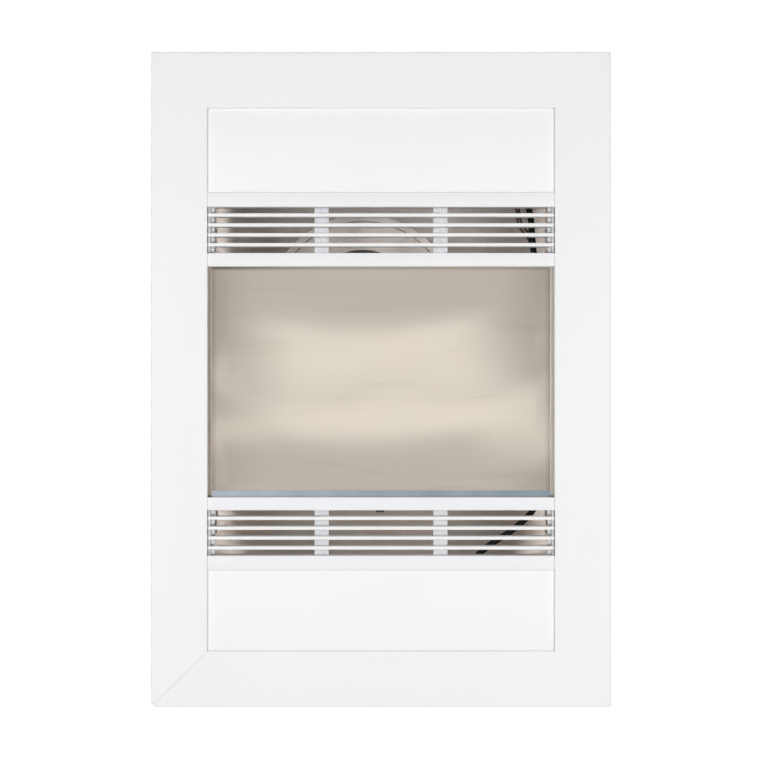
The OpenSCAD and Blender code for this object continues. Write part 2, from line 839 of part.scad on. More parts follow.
module blower_front_plate() {
    color("#c4c0b8") {
        difference() {
            along_y(scroll_y0 - scroll_t, scroll_y0) union() {
                translate([blower_x, blower_z]) circle(r = front_plate_r, $fn = 96);
                rect([outlet_x, blower_z - scroll_r1 - scroll_t],
                    [blower_x, outlet_top + scroll_t]);
            }
            bar_y(inlet_seat_r, blower_x, blower_z, scroll_y0 - scroll_t - over, scroll_y0 + over);
        }
        spun_y(blower_x, blower_z) polygon([
            [front_plate_r - rim_slope, scroll_y0 - scroll_t/2], [front_plate_r, scroll_y0 - scroll_t],
            [front_plate_r - rim_slope, scroll_y0 - scroll_t - rim_h],
            [front_plate_r - rim_w + rim_slope, scroll_y0 - scroll_t - rim_h],
            [front_plate_r - rim_w, scroll_y0 - scroll_t],
            [front_plate_r - rim_w + rim_slope, scroll_y0 - scroll_t/2]]);
    }
}

// Bell mouth: a rolled outer bead on the plate and a throat that dips into the impeller
module inlet_ring() {
    flat_y = scroll_y0 - scroll_t;
    bead_y = flat_y - inlet_bead;
    color("#6f6a66") spun_y(blower_x, blower_z) {
        difference() {
            union() {
                rect([throat_r + over, bead_y], [inlet_r, flat_y]);
                rect([throat_r, bead_y], [throat_r + throat_t, impeller_y0 + throat_dip]);
            }
            translate([throat_r + over + inlet_bead, bead_y]) scale([1, inlet_bead_flat])
                circle(r = inlet_bead, $fn = 48);
        }
    }
}

// Puts a child at each motor screw
module at_motor_screws() {
    for (a = [90 : 120 : 330]) {
        translate([blower_x + motor_screw_pcr*cos(a), 0, blower_z + motor_screw_pcr*sin(a)])
            children();
    }
}

module exhaust_motor() {
    color("#54585e") difference() {
        union() {
            spun_y(blower_x, blower_z) polygon([[0, motor_y0 - motor_boss],
                [motor_boss_r, motor_y0 - motor_boss], [motor_boss_root, motor_y0],
                [motor_r - motor_edge, motor_y0], [motor_r, motor_y0 + motor_edge],
                [motor_r, scroll_back], [0, scroll_back]]);
            along_y(scroll_back - motor_lug_t, scroll_back) for (a = [90 : 120 : 330]) {
                translate([blower_x, blower_z]) rotate(a) {
                    rect([motor_r - motor_edge, -motor_lug_r], [motor_screw_pcr, motor_lug_r]);
                    translate([motor_screw_pcr, 0]) circle(r = motor_lug_r);
                }
            }
        }
        bar_y(shaft_r + running, blower_x, blower_z, motor_y0 - motor_boss - over,
            motor_y0 + shaft_in + 2*over);
        at_motor_screws() bar_y(motor_screw_r + snug, 0, 0, scroll_back - motor_lug_t - over,
            scroll_back + over);
    }
}

module motor_screws() {
    color("#8a8d91") at_motor_screws() {
        bar_y(motor_screw_r, 0, 0, scroll_back - motor_lug_t - over, scroll_y1 + over);
        bar_y(motor_screw_r*1.8, 0, 0, scroll_y1, scroll_y1 + screw_head_h, 6);
        bar_y(motor_screw_r*2, 0, 0, scroll_back - motor_lug_t - screw_foot_h,
            scroll_back - motor_lug_t);
    }
}

// Drum of forward-curved blades on a dished back plate
module exhaust_impeller() {
    root_r = impeller_r - impeller_blade;
    color("#8f9296") difference() {
        union() {
            spun_y(blower_x, blower_z) polygon([[0, hub_y], [dish_r - dish_bend, hub_y],
                [impeller_r, impeller_y1 - dish_t], [impeller_r, impeller_y1],
                [impeller_r - dish_t, impeller_y1], [dish_r - 2*dish_bend, hub_y + dish_t],
                [0, hub_y + dish_t]]);
            spun_y(blower_x, blower_z)
                rect([root_r + impeller_ring, impeller_y0], [impeller_r, impeller_y0 + impeller_ring]);
            bar_y(shaft_r + hub_wall, blower_x, blower_z, hub_y - hub_t, hub_y + over);
            along_y(impeller_y0, impeller_y1) translate([blower_x, blower_z])
                for (i = [0 : impeller_blades - 1]) {
                    rotate(360*i/impeller_blades)
                        drum_blade(root_r + blade_bite, impeller_r - blade_tip, impeller_blade_t);
                }
        }
        spun_y(blower_x, blower_z) polygon([[0, hub_y + dish_t], [dish_r - 2*dish_bend, hub_y + dish_t],
            [impeller_r - dish_t - dish_trim, impeller_y1 + dish_trim],
            [0, impeller_y1 + dish_trim]]);
        bar_y(shaft_r + snug, blower_x, blower_z, hub_y - hub_t - over, hub_y + dish_t + over);
    }
}

// One thin curved blade between two radii, bowed towards +y
module drum_blade(r0, r1, thick) {
    bow = (r1 - r0)*0.16;
    sweep = (r1 - r0)*0.5;
    polygon([
        [r0, 0], [r0 + (r1 - r0)*0.5, bow + sweep*0.25], [r1, sweep],
        [r1, sweep + thick], [r0 + (r1 - r0)*0.5, bow + sweep*0.25 + thick], [r0, thick]]);
}

module exhaust_shaft() {
    color("#c8cacc") bar_y(shaft_r, blower_x, blower_z, hub_y - hub_t - nut_h - shaft_end,
        motor_y0 + shaft_in);
}

module impeller_nut() {
    color("#a8abae") difference() {
        bar_y(nut_w/sqrt(3), blower_x, blower_z, hub_y - hub_t - nut_h, hub_y - hub_t, 6);
        bar_y(shaft_r + snug, blower_x, blower_z, hub_y - hub_t - nut_h - over, hub_y);
    }
}

module duct_spigot() {
    half = spigot_r + spigot_flange;
    color("#e4e4e2") difference() {
        union() {
            block([spigot_x - sheet_t, spigot_y - half, spigot_z - half],
                [spigot_x, spigot_y + half, spigot_z + half]);
            bar_x(spigot_r, spigot_y, spigot_z, spigot_x - spigot_l, spigot_x - sheet_t/2);
        }
        bar_x(spigot_r - spigot_t, spigot_y, spigot_z, spigot_x - spigot_l - over, spigot_x + over);
        translate([damper_at, spigot_y, spigot_z - spigot_r - over])
            cylinder(h = 2*(spigot_r + over), r = pin_r + snug);
    }
}

// The pin's ends lie just below the spigot's outside, so that the duct slides over them
module damper_pin() {
    half = spigot_r - seat;
    color("#c8cacc") translate([damper_at, spigot_y, spigot_z - half])
        cylinder(h = 2*half, r = pin_r);
}

// A half-moon flap with its knuckles at the given heights; side is 1 towards the back
module damper_flap(side, knuckles) {
    clear_r = knuckle_r + knuckle_gap;
    color("#d3d4d2") translate([damper_at, spigot_y, spigot_z]) difference() {
        union() {
            intersection() {
                bar_x(flap_r, 0, 0, -flap_t/2, flap_t/2);
                block([-flap_t, side > 0 ? clear_r : -flap_r - over, -flap_r - over],
                    [flap_t, side > 0 ? flap_r + over : -clear_r, flap_r + over]);
            }
            for (z = knuckles) {
                translate([0, 0, z - knuckle_l/2]) {
                    cylinder(h = knuckle_l, r = knuckle_r);
                    block([-flap_t/2, side > 0 ? 0 : -clear_r - knuckle_gap, 0],
                        [flap_t/2, side > 0 ? clear_r + knuckle_gap : 0, knuckle_l]);
                }
            }
        }
        translate([0, 0, -spigot_r]) cylinder(h = 2*spigot_r, r = pin_r + running);
    }
}

module damper_flap_front() {
    damper_flap(-1, [0]);
}

module damper_flap_rear() {
    damper_flap(1, [-knuckle_pitch, knuckle_pitch]);
}

// Crossflow rotor: thin blades between ring discs, with a solid disc at each end
module heater_impeller() {
    hub_r = cross_shaft_r + cross_hub_wall;
    color("#9ea2a6") difference() {
        union() {
            along_x(-cross_l/2, cross_l/2) translate([cross_y, cross_z])
                for (i = [0 : cross_blades - 1]) {
                    rotate(360*i/cross_blades)
                        drum_blade(cross_r - cross_blade, cross_r - cross_blade_tip, cross_blade_t);
                }
            for (i = [0 : cross_discs - 1]) {
                x = -cross_l/2 + i*(cross_l - cross_disc_t)/(cross_discs - 1);
                difference() {
                    bar_x(cross_r, cross_y, cross_z, x, x + cross_disc_t);
                    if (i > 0 && i < cross_discs - 1) {
                        bar_x(cross_r - cross_blade - over, cross_y, cross_z, x - over,
                            x + cross_disc_t + over);
                    }
                }
            }
            bar_x(hub_r, cross_y, cross_z, -cross_l/2, -cross_l/2 + cross_hub_l);
            bar_x(hub_r, cross_y, cross_z, cross_l/2 - cross_hub_l, cross_l/2);
        }
        bar_x(cross_shaft_r + snug, cross_y, cross_z, -cross_l/2 - over, cross_l/2 + over);
    }
}

module heater_shaft() {
    color("#c8cacc") bar_x(cross_shaft_r, cross_y, cross_z,
        motor_plate_x - heater_motor_l + heater_shaft_in, end_x + heater_t + bearing_l);
}

module heater_motor() {
    x0 = motor_plate_x - heater_motor_l;
    color("#4e5257") difference() {
        union() {
            translate([motor_plate_x, cross_y, cross_z]) rotate([0, -90, 0]) rotate_extrude()
                polygon([[0, 0], [heater_motor_r, 0],
                    [heater_motor_r, heater_motor_l - heater_motor_edge],
                    [heater_motor_r - heater_motor_edge, heater_motor_l], [0, heater_motor_l]]);
            bar_x(cross_shaft_r + hub_wall, cross_y, cross_z, x0 - heater_motor_boss, x0 + over);
        }
        bar_x(cross_shaft_r + running, cross_y, cross_z, x0 + heater_shaft_in - 2*over,
            motor_plate_x + over);
    }
}

// Flanged sleeve bearing in the right end plate
module heater_bearing() {
    face = end_x + heater_t;
    color("#b08d57") difference() {
        union() {
            bar_x(bearing_r, cross_y, cross_z, end_x, face + bearing_l);
            bar_x(2*bearing_r - cross_shaft_r, cross_y, cross_z, face, face + bearing_flange_t);
        }
        bar_x(cross_shaft_r + running, cross_y, cross_z, end_x - over, face + bearing_l + over);
    }
}

module heater_end_plates() {
    color("#bdbab4") for (side = [-1, 1]) {
        low = side > 0 ? end_x : -end_x - heater_t;
        difference() {
            along_x(low, low + heater_t) polygon([
                [ptc_y0 - end_plate_margin, partition_z], [ptc_y1 + end_plate_margin, partition_z],
                [ptc_y1 + end_plate_margin, cross_z - end_plate_rear_drop],
                [cross_y + cross_r + end_plate_lean, cross_z + cross_r + end_plate_margin],
                [cross_y - cross_r + end_plate_lean, cross_z + cross_r + end_plate_margin],
                [ptc_y0 - end_plate_margin, cross_z - end_plate_front_drop]]);
            bar_x(side > 0 ? bearing_r + snug : cross_shaft_r + cross_hub_wall,
                cross_y, cross_z, low - over, low + heater_t + over);
        }
    }
}

// Points of the curved rear wall, in Y and Z, grown by a wall
function casing_points(grow) = [for (i = [0 : casing_steps])
    let (a = casing_start - casing_turn*i/casing_steps,
        r = cross_r + casing_gap + casing_spread*i/casing_steps + grow)
    [cross_y + r*cos(a), cross_z + r*sin(a)]];

module heater_casing() {
    inner = casing_points(0);
    outer = casing_points(heater_t);
    tail = [[ptc_y1 - heater_t, ptc_z1 + seat], [ptc_y1, ptc_z1 + seat]];
    color("#c0bdb7") along_x(-end_x, end_x)
        polygon(concat(inner, tail, [for (i = [casing_steps : -1 : 0]) outer[i]]));
}

// Front wall of the heater's outlet, with a rolled lip close to the rotor
module heater_tongue() {
    top = cross_z - tongue_drop;
    color("#c0bdb7") along_x(-end_x, end_x) {
        rect([ptc_y0, ptc_z1 + seat], [ptc_y0 + heater_t, top]);
        translate([ptc_y0 + heater_t/2, top]) circle(r = tongue_lip_r);
    }
}

module ptc_frame() {
    color("#3c3d3f") difference() {
        block([-end_x + slide_fit, ptc_y0, partition_z], [end_x - slide_fit, ptc_y1, ptc_z1]);
        block([-end_x + ptc_end_wall, ptc_y0 + ptc_wall, partition_z - over],
            [end_x - ptc_end_wall, ptc_y1 - ptc_wall, ptc_z1 + over]);
    }
}

// Flat bars joined by thin fins
module ptc_elements() {
    half = end_x - ptc_end_wall - slide_fit;
    y0 = ptc_y0 + ptc_wall + slide_fit;
    y1 = ptc_y1 - ptc_wall - slide_fit;
    z0 = partition_z + ptc_bar_inset;
    z1 = ptc_z1 - ptc_bar_inset;
    bar_pitch = (y1 - y0 - ptc_bar_t)/(ptc_bars - 1);
    fin_pitch = (2*half - ptc_bar_t)/(ptc_fins - 1);
    color("#aeb0b2") {
        for (i = [0 : ptc_bars - 1]) {
            block([-half, y0 + i*bar_pitch, z0], [half, y0 + i*bar_pitch + ptc_bar_t, z1]);
        }
        for (i = [0 : ptc_fins - 1]) {
            x = -half + (ptc_bar_t - ptc_fin_t)/2 + i*fin_pitch;
            block([x, y0, z0], [x + ptc_fin_t, y1, z1]);
        }
    }
}

// Bimetal cut-out that hangs into the outlet below the heater
module thermal_cutout() {
    under = partition_z - sheet_t;
    color("#2e2d2c") translate([cutout_x, cutout_y, 0]) {
        translate([0, 0, under - cutout_h]) cylinder(h = cutout_h - slide_fit, r = cutout_r);
        translate([0, 0, under - cutout_h - cutout_cap])
            cylinder(h = cutout_cap + over, r = cutout_cap_r);
        block([-cutout_ear, -cutout_ear_half, under - cutout_ear_t],
            [cutout_ear, cutout_ear_half, under - slide_fit]);
    }
}

module partition_plate() {
    half = web_x - seat;
    color("#b7b4ae") difference() {
        union() {
            block([-half, partition_front, partition_z - sheet_t], [half, back_y, partition_z]);
            block([-half, back_y - sheet_t, partition_z - sheet_t],
                [half, back_y, partition_z + partition_lip]);
        }
        for (span = [[-end_x + ptc_end_wall, cutout_x - cutout_strap],
            [cutout_x + cutout_strap, end_x - ptc_end_wall]]) {
            block([span[0], ptc_y0 + ptc_wall, partition_z - sheet_t - over],
                [span[1], ptc_y1 - ptc_wall, partition_z + over]);
        }
        block([half - partition_slot_w, partition_slot_front, partition_z - sheet_t - over],
            [half + over, partition_slot_back, partition_z + over]);
    }
}

// Sheet that turns the warm air forwards, out through the lower grille
module air_deflector() {
    half = web_x - seat;
    rear_y = back_y - deflector_rear;
    foot_y = rear_y + deflector_foot;
    front_y = deflector_front;
    lip_z = deflector_z - deflector_lip;
    top_z = partition_z - sheet_t - seat;
    rise = top_z - 2*sheet_t - deflector_z;
    run = rear_y - deflector_flat;
    inner = [for (t = [0 : 6 : 90]) [deflector_flat + run*sin(t), deflector_z + rise*(1 - cos(t))]];
    outer = [for (t = [90 : -6 : 0])
        [deflector_flat + (run + sheet_t)*sin(t), deflector_z - sheet_t + (rise + sheet_t)*(1 - cos(t))]];
    color("#a89d92") difference() {
        along_x(-half, half) {
            polygon(concat([[front_y, deflector_z]], inner, [[rear_y, top_z], [foot_y, top_z],
                [foot_y, top_z - sheet_t], [rear_y + sheet_t, top_z - sheet_t]], outer,
                [[front_y + sheet_t, deflector_z - sheet_t], [front_y + sheet_t, lip_z],
                [front_y, lip_z]]));
        }
        translate([lead_hole_x, lead_hole_y, deflector_z - sheet_t - over])
            cylinder(h = sheet_t + 3*over, r = lead_hole_r);
    }
}

module terminal_box() {
    half = box_w/2;
    color("#e8e6e0") difference() {
        block([box_x - half, box_front, box_z - box_h/2], [box_x + half, back_y, box_z + box_h/2]);
        block([box_x - half + box_t, box_front - over, box_z - box_h/2 + box_t],
            [box_x + half - box_t, back_y - box_t, box_z + box_h/2 - box_t]);
        bar_x(lead_d/2 + 4*slide_fit, lead_points[0][1], lead_points[0][2], box_x,
            box_x + half + over);
        translate([box_x, box_entry_y, box_z - box_h/2 - over])
            cylinder(h = box_t + 2*over, r = box_entry_r);
    }
}

// A row of wire clamps on the floor of the box
module terminal_block() {
    width = block_ways*block_way;
    back = back_y - box_t;
    front = back - block_d;
    color("#f2efe6") difference() {
        block([box_x - width/2, front, box_z - block_h/2], [box_x + width/2, back, box_z + block_h/2]);
        for (i = [0 : block_ways - 1], side = [-1, 1]) {
            x = box_x - width/2 + block_way*(i + 0.5);
            bar_y(clamp_r, x, box_z + side*clamp_z, front - over, front + clamp_deep);
            translate([x, back - wire_way_up, box_z + side*(block_h/2 - wire_way_inset)])
                cylinder(h = wire_way_l, r = wire_way_r, center = true);
        }
    }
}

// Lid with a rim that fits inside the box and a screw head in the middle
module terminal_lid() {
    half = box_w/2;
    rim_x = half - box_t - slide_fit;
    rim_z = box_h/2 - box_t - slide_fit;
    color("#f4f2ee") {
        block([box_x - half, box_front - box_t, box_z - box_h/2],
            [box_x + half, box_front, box_z + box_h/2]);
        block([box_x - rim_x, box_front - box_t/2, box_z - rim_z],
            [box_x + rim_x, box_front + lid_rim_h, box_z + rim_z]);
        bar_y(lid_screw_r, box_x, box_z, box_front - box_t - lid_screw_h, box_front - box_t/2);
    }
}

// Gland clamped through the housing's lower end by its nut inside
module cable_gland() {
    top = -inner_z;
    under = top - sheet_t;
    color("#3a3b3d") translate([gland_x, gland_y, 0]) difference() {
        union() {
            translate([0, 0, under - over]) cylinder(h = gland_thread_up + over, r = gland_r);
            translate([0, 0, top]) cylinder(h = gland_nut_h, r = gland_nut_r, $fn = 6);
            translate([0, 0, under - gland_head_h])
                cylinder(h = gland_head_h, r = gland_nut_r, $fn = 6);
            translate([0, 0, under - gland_cap_l])
                cylinder(h = gland_cap_l - gland_cap_join, r = gland_cap_r);
        }
        translate([0, 0, under - gland_cap_l - over])
            cylinder(h = gland_cap_l + gland_thread_up + 2*over, r = gland_bore_r);
    }
}

module run_capacitor() {
    lug_x = cap_w/2 + cap_lug;
    color("#d9d9d6") {
        block([cap_x - cap_w/2, back_y - cap_d, cap_z - cap_h/2],
            [cap_x + cap_w/2, back_y, cap_z + cap_h/2]);
        block([cap_x - lug_x, back_y - cap_lug_t, cap_z - cap_lug_half],
            [cap_x + lug_x, back_y, cap_z + cap_lug_half]);
    }
}

// Unit vector along a route at one of its points
function heading(p, i) =
    let (d = p[min(i + 1, len(p) - 1)] - p[max(i - 1, 0)])
    d/norm(d);

// Ring of points round a route: the sides stay level with one another because each ring is
// built from the heading and the same fixed direction
function ring(p, i, r, sides, up) =
    let (t = heading(p, i), a = cross(t, up), u = a/norm(a), v = cross(u, t))
    [for (k = [0 : sides - 1]) p[i] + r*cos(360*k/sides)*u + r*sin(360*k/sides)*v];

// A closed tube along a route
module tube(p, d, sides, up) {
    n = len(p);
    points = [for (i = [0 : n - 1]) for (q = ring(p, i, d/2, sides, up)) q];
    walls = [for (i = [0 : n - 2], k = [0 : sides - 1], half = [0, 1])
        let (a = i*sides + k, b = i*sides + (k + 1) % sides)
        half == 0 ? [a, b, b + sides] : [a, b + sides, a + sides]];
    start = [[for (k = [sides - 1 : -1 : 0]) k]];
    end = [[for (k = [0 : sides - 1]) (n - 1)*sides + k]];
    polyhedron(points, concat(walls, start, end));
}

module black_lead() {
    color("#171717") tube(lead_points, lead_d, 10, [0, 1, 0.35]);
}

module motor_wires() {
    color("#6b4a33") {
        tube(wire_points, wire_d, 8, [0.25, 0.2, 1]);
        tube([for (p = wire_points) p + second_wire], wire_d, 8, [0.25, 0.2, 1]);
    }
}

// Clips that hold the black lead to the right side channel
module lead_clips() {
    spot = lead_points[lead_clip_point];
    grip_r = lead_d/2 + slide_fit;
    color("#e9e9e7") for (z = [-lead_clip_z, lead_clip_z]) {
        translate([0, 0, z]) difference() {
            union() {
                translate([spot[0], spot[1], 0])
                    cylinder(h = lead_clip_l, r = grip_r + lead_clip_wall);
                block([spot[0], spot[1] - lead_clip_neck, 0],
                    [web_x, spot[1] + lead_clip_neck, lead_clip_l]);
                block([web_x - lead_clip_wall, spot[1] - lead_clip_foot, 0],
                    [web_x, spot[1] + lead_clip_foot, lead_clip_l]);
            }
            translate([spot[0], spot[1], -over]) cylinder(h = lead_clip_l + 2*over, r = grip_r);
        }
    }
}

housing_back();
housing_sides();
housing_ends();
trim_rail_top();
trim_rail_bottom();
trim_rail_left();
trim_rail_right();
corner_keys();
corner_key_screws();
trim_clips();
trim_clip_rivets();
side_channels();
plate_channel_left();
plate_channel_right();
plate_ledge();
centre_plate();
upper_fascia_panel();
lower_fascia_panel();
upper_grille_rails();
upper_grille_blades();
upper_grille_crossbars();
upper_grille_end_plates();
upper_grille_springs();
lower_grille_rails();
lower_grille_blades();
lower_grille_crossbars();
lower_grille_end_plates();
lower_grille_springs();
blower_scroll();
blower_front_plate();
inlet_ring();
exhaust_motor();
motor_screws();
exhaust_impeller();
exhaust_shaft();
impeller_nut();
duct_spigot();
damper_flap_front();
damper_flap_rear();
damper_pin();
heater_impeller();
heater_shaft();
heater_motor();
heater_bearing();
heater_end_plates();
heater_casing();
heater_tongue();
ptc_frame();
ptc_elements();
thermal_cutout();
partition_plate();
air_deflector();
terminal_box();
terminal_block();
terminal_lid();
cable_gland();
run_capacitor();
black_lead();
motor_wires();
lead_clips();
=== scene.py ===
import math

import bmesh
import bpy
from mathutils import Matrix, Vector


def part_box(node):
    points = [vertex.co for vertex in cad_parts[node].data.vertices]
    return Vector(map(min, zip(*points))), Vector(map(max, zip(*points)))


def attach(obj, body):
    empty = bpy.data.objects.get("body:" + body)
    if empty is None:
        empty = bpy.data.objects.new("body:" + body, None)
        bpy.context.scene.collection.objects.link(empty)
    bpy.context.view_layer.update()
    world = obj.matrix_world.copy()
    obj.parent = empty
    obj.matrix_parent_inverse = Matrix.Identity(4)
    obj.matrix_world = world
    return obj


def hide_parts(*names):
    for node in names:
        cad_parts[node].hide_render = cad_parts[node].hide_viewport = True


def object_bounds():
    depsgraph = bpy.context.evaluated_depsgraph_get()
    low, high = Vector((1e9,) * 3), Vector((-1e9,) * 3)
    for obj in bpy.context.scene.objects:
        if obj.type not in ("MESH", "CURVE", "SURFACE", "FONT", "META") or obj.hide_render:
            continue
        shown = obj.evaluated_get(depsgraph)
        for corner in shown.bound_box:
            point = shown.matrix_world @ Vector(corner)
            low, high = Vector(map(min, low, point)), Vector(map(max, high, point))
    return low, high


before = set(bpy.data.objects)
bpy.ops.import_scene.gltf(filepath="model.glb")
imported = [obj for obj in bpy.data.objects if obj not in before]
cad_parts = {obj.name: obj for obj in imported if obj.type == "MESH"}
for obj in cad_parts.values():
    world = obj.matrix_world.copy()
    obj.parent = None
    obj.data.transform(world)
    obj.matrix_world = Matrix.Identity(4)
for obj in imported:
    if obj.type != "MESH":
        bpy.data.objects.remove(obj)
cad_low, cad_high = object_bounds()
view = bpy.context.scene.view_settings
view.view_transform = "Standard"


# Camera and studio
# The camera stands straight in front, 1.3 m from the trim's face, as the photograph was taken.
# A white room lights the object evenly. Two round softboxes at its own height shine between the
# grilles' bars from left and right of the camera, and two more light the housing from behind.
photo_pixels = 768
metres_per_pixel = 0.00087
trim_centre = (381.0, 379.5)
camera_distance = 1.3
sensor_width = 36
trim_front = cad_low.y
camera_data = bpy.data.cameras.new("camera")
camera = bpy.data.objects.new("camera", camera_data)
bpy.context.scene.collection.objects.link(camera)
camera.location = (
    (photo_pixels / 2 - trim_centre[0]) * metres_per_pixel,
    trim_front - camera_distance,
    (trim_centre[1] - photo_pixels / 2) * metres_per_pixel,
)
camera.rotation_euler = (math.pi / 2, 0, 0)
camera_data.sensor_width = sensor_width
camera_data.lens = sensor_width * camera_distance / (photo_pixels * metres_per_pixel)
camera_data.clip_end = 20
bpy.context.scene.camera = camera


def add_node(material, kind, inputs, **properties):
    """Adds a shader node: an input given as a socket is linked, and any other value is set."""
    node = material.node_tree.nodes.new(kind)
    for name, value in properties.items():
        setattr(node, name, value)
    for name, value in inputs.items():
        if isinstance(value, bpy.types.NodeSocket):
            material.node_tree.links.new(value, node.inputs[name])
        else:
            node.inputs[name].default_value = value
    return node


def srgb(code):
    """The linear colour of an sRGB hex code."""
    parts = [int(code[i:i + 2], 16) / 255 for i in (1, 3, 5)]
    return [c / 12.92 if c <= 0.04045 else ((c + 0.055) / 1.055) ** 2.4 for c in parts] + [1.0]


def new_material(name, **sockets):
    """A material whose uniform values are set straight on the shader's own sockets."""
    material = bpy.data.materials.new(name)
    material.use_nodes = True
    shader = material.node_tree.nodes["Principled BSDF"]
    for socket, value in sockets.items():
        shader.inputs[socket.replace("_", " ")].default_value = value
    return material, shader


def link(material, output, socket):
    """Joins a node's output to a socket that is already there."""
    material.node_tree.links.new(output, socket)


# The room: white where it is seen or mirrored, and at a plain level where it lights the object
room_light = 0.34
room = bpy.data.worlds.new("white_room")
bpy.context.scene.world = room
room.use_nodes = True
room.node_tree.nodes.clear()
path = add_node(room, "ShaderNodeLightPath", {})
mirrored = add_node(room, "ShaderNodeMath", {0: path.outputs["Is Camera Ray"],
                                             1: path.outputs["Is Glossy Ray"]}, operation="ADD")
seen = add_node(room, "ShaderNodeMath", {0: mirrored.outputs[0],
                                         1: path.outputs["Is Transmission Ray"]},
                operation="ADD", use_clamp=True)
strength = add_node(room, "ShaderNodeMapRange", {"Value": seen.outputs[0], "To Min": room_light,
                                                 "To Max": 1.0})
glow = add_node(room, "ShaderNodeBackground", {"Color": (1, 1, 1, 1),
                                               "Strength": strength.outputs[0]})
add_node(room, "ShaderNodeOutputWorld", {"Surface": glow.outputs[0]})


def area_lamp(name, shape, place, turn, size, power):
    """An area lamp of the given shape, width and power, put in its place and turned."""
    lamp_data = bpy.data.lights.new(name, "AREA")
    lamp_data.shape = shape
    lamp_data.size = size
    lamp_data.energy = power
    lamp = bpy.data.objects.new(name, lamp_data)
    bpy.context.scene.collection.objects.link(lamp)
    lamp.location = place
    lamp.rotation_mode = "QUATERNION"
    lamp.rotation_quaternion = turn
    return lamp


for name, place, size, power in (("left_lamp", (-0.95, -2.0, 0.04), 0.7, 15.5),
                                 ("right_lamp", (0.95, -2.0, -0.02), 0.7, 15.5),
                                 ("rear_left_lamp", (-1.3, 2.0, 0.4), 1.0, 9),
                                 ("rear_right_lamp", (1.3, 2.0, 0.4), 1.0, 9)):
    area_lamp(name, "DISK", place, Vector(place).to_track_quat("Z", "Y"), size, power)

# Small strips of light hang inside the housing, because the photographed fan is light inside, and
# most of all in the corners at the ends of its two bays. Narrow beams are aimed at those corners,
# and wide ones light each bay evenly. The first six are the upper bay's.
for x, y, z, aim, width, height, beam, power in (
        (-0.146, 0.127, 0.153, (-0.6, 0.8, 0), 0.008, 0.066, 70, 0.0047),
        (0.146, 0.127, 0.153, (0.6, 0.8, 0), 0.008, 0.066, 70, 0.0029),
        (-0.11, 0.055, 0.148, (0, 1, 0), 0.04, 0.05, 180, 0.007),
        (0.11, 0.055, 0.148, (0, 1, 0), 0.04, 0.05, 180, 0.007),
        (0.02, 0.008, 0.131, (0, 1, 0), 0.08, 0.05, 180, 0.018),
        (0.02, 0.1, 0.178, (0, 1, 0), 0.2, 0.05, 180, 0.026),
        (-0.144, 0.086, -0.127, (-0.35, 0.44, -0.83), 0.010, 0.06, 90, 0.0060),
        (0.144, 0.086, -0.127, (0.35, 0.44, -0.83), 0.010, 0.06, 90, 0.0068),
        (-0.145, 0.112, -0.121, (-0.5, 0.85, -0.1), 0.008, 0.024, 90, 0.0026),
        (0.145, 0.112, -0.121, (0.5, 0.85, -0.1), 0.008, 0.024, 90, 0.0024),
        (-0.11, 0.045, -0.128, (0, 1, 0), 0.04, 0.05, 180, 0.007),
        (0.11, 0.045, -0.128, (0, 1, 0), 0.04, 0.05, 180, 0.003),
        (0.01, 0.008, -0.13, (0, 1, 0), 0.10, 0.05, 180, 0.050)):
    turn = Vector(aim).to_track_quat("-Z", "Y")
    lamp = area_lamp("bay_lamp", "RECTANGLE", (x, y, z), turn, width, power)
    lamp.data.size_y = height
    lamp.data.spread = math.radians(beam)
    lamp.visible_camera = False
    lamp.visible_glossy = False

# The floor is matt and pale. It glows a little for the camera alone, so that it looks as white as
# the room and still takes the object's shadow, and it fades out towards its rim.
floor_z = -0.75
floor_size = 3.2
floor_glow = 0.5
fade_start = 0.6
fade_end = 1.5
bpy.ops.object.select_all(action="DESELECT")
bpy.ops.mesh.primitive_plane_add(size=floor_size, location=(0, 0, floor_z))
floor = bpy.context.active_object
floor.name = "floor"
floor_paint, floor_shader = new_material("pale_floor_paint", Base_Color=srgb("#F4F4F4"), Roughness=0.9,
                                         Emission_Color=srgb("#FFFFFF"))
floor_path = add_node(floor_paint, "ShaderNodeLightPath", {})
floor_lift = add_node(floor_paint, "ShaderNodeMath", {0: floor_path.outputs["Is Camera Ray"],
                                                      1: floor_glow}, operation="MULTIPLY")
link(floor_paint, floor_lift.outputs[0], floor_shader.inputs["Emission Strength"])
floor_place = add_node(floor_paint, "ShaderNodeTexCoord", {})
floor_reach = add_node(floor_paint, "ShaderNodeVectorMath", {0: floor_place.outputs["Object"]},
                       operation="LENGTH")
floor_cover = add_node(floor_paint, "ShaderNodeMapRange", {
    "Value": floor_reach.outputs["Value"], "From Min": fade_start, "From Max": fade_end,
    "To Min": 1.0, "To Max": 0.0}, interpolation_type="SMOOTHSTEP")
link(floor_paint, floor_cover.outputs[0], floor_shader.inputs["Alpha"])
floor.data.materials.append(floor_paint)


# Studio cards, seen only in the polished plate
# Two grey cards stand behind the camera, a wide dull one and a brighter one, with two long soft
# panels in front of them and three short ones towards the sides. The plate mirrors the panels as
# two bright bands with a duller border.
card_y = -2.6
card_white = (1, 1, 1, 1)


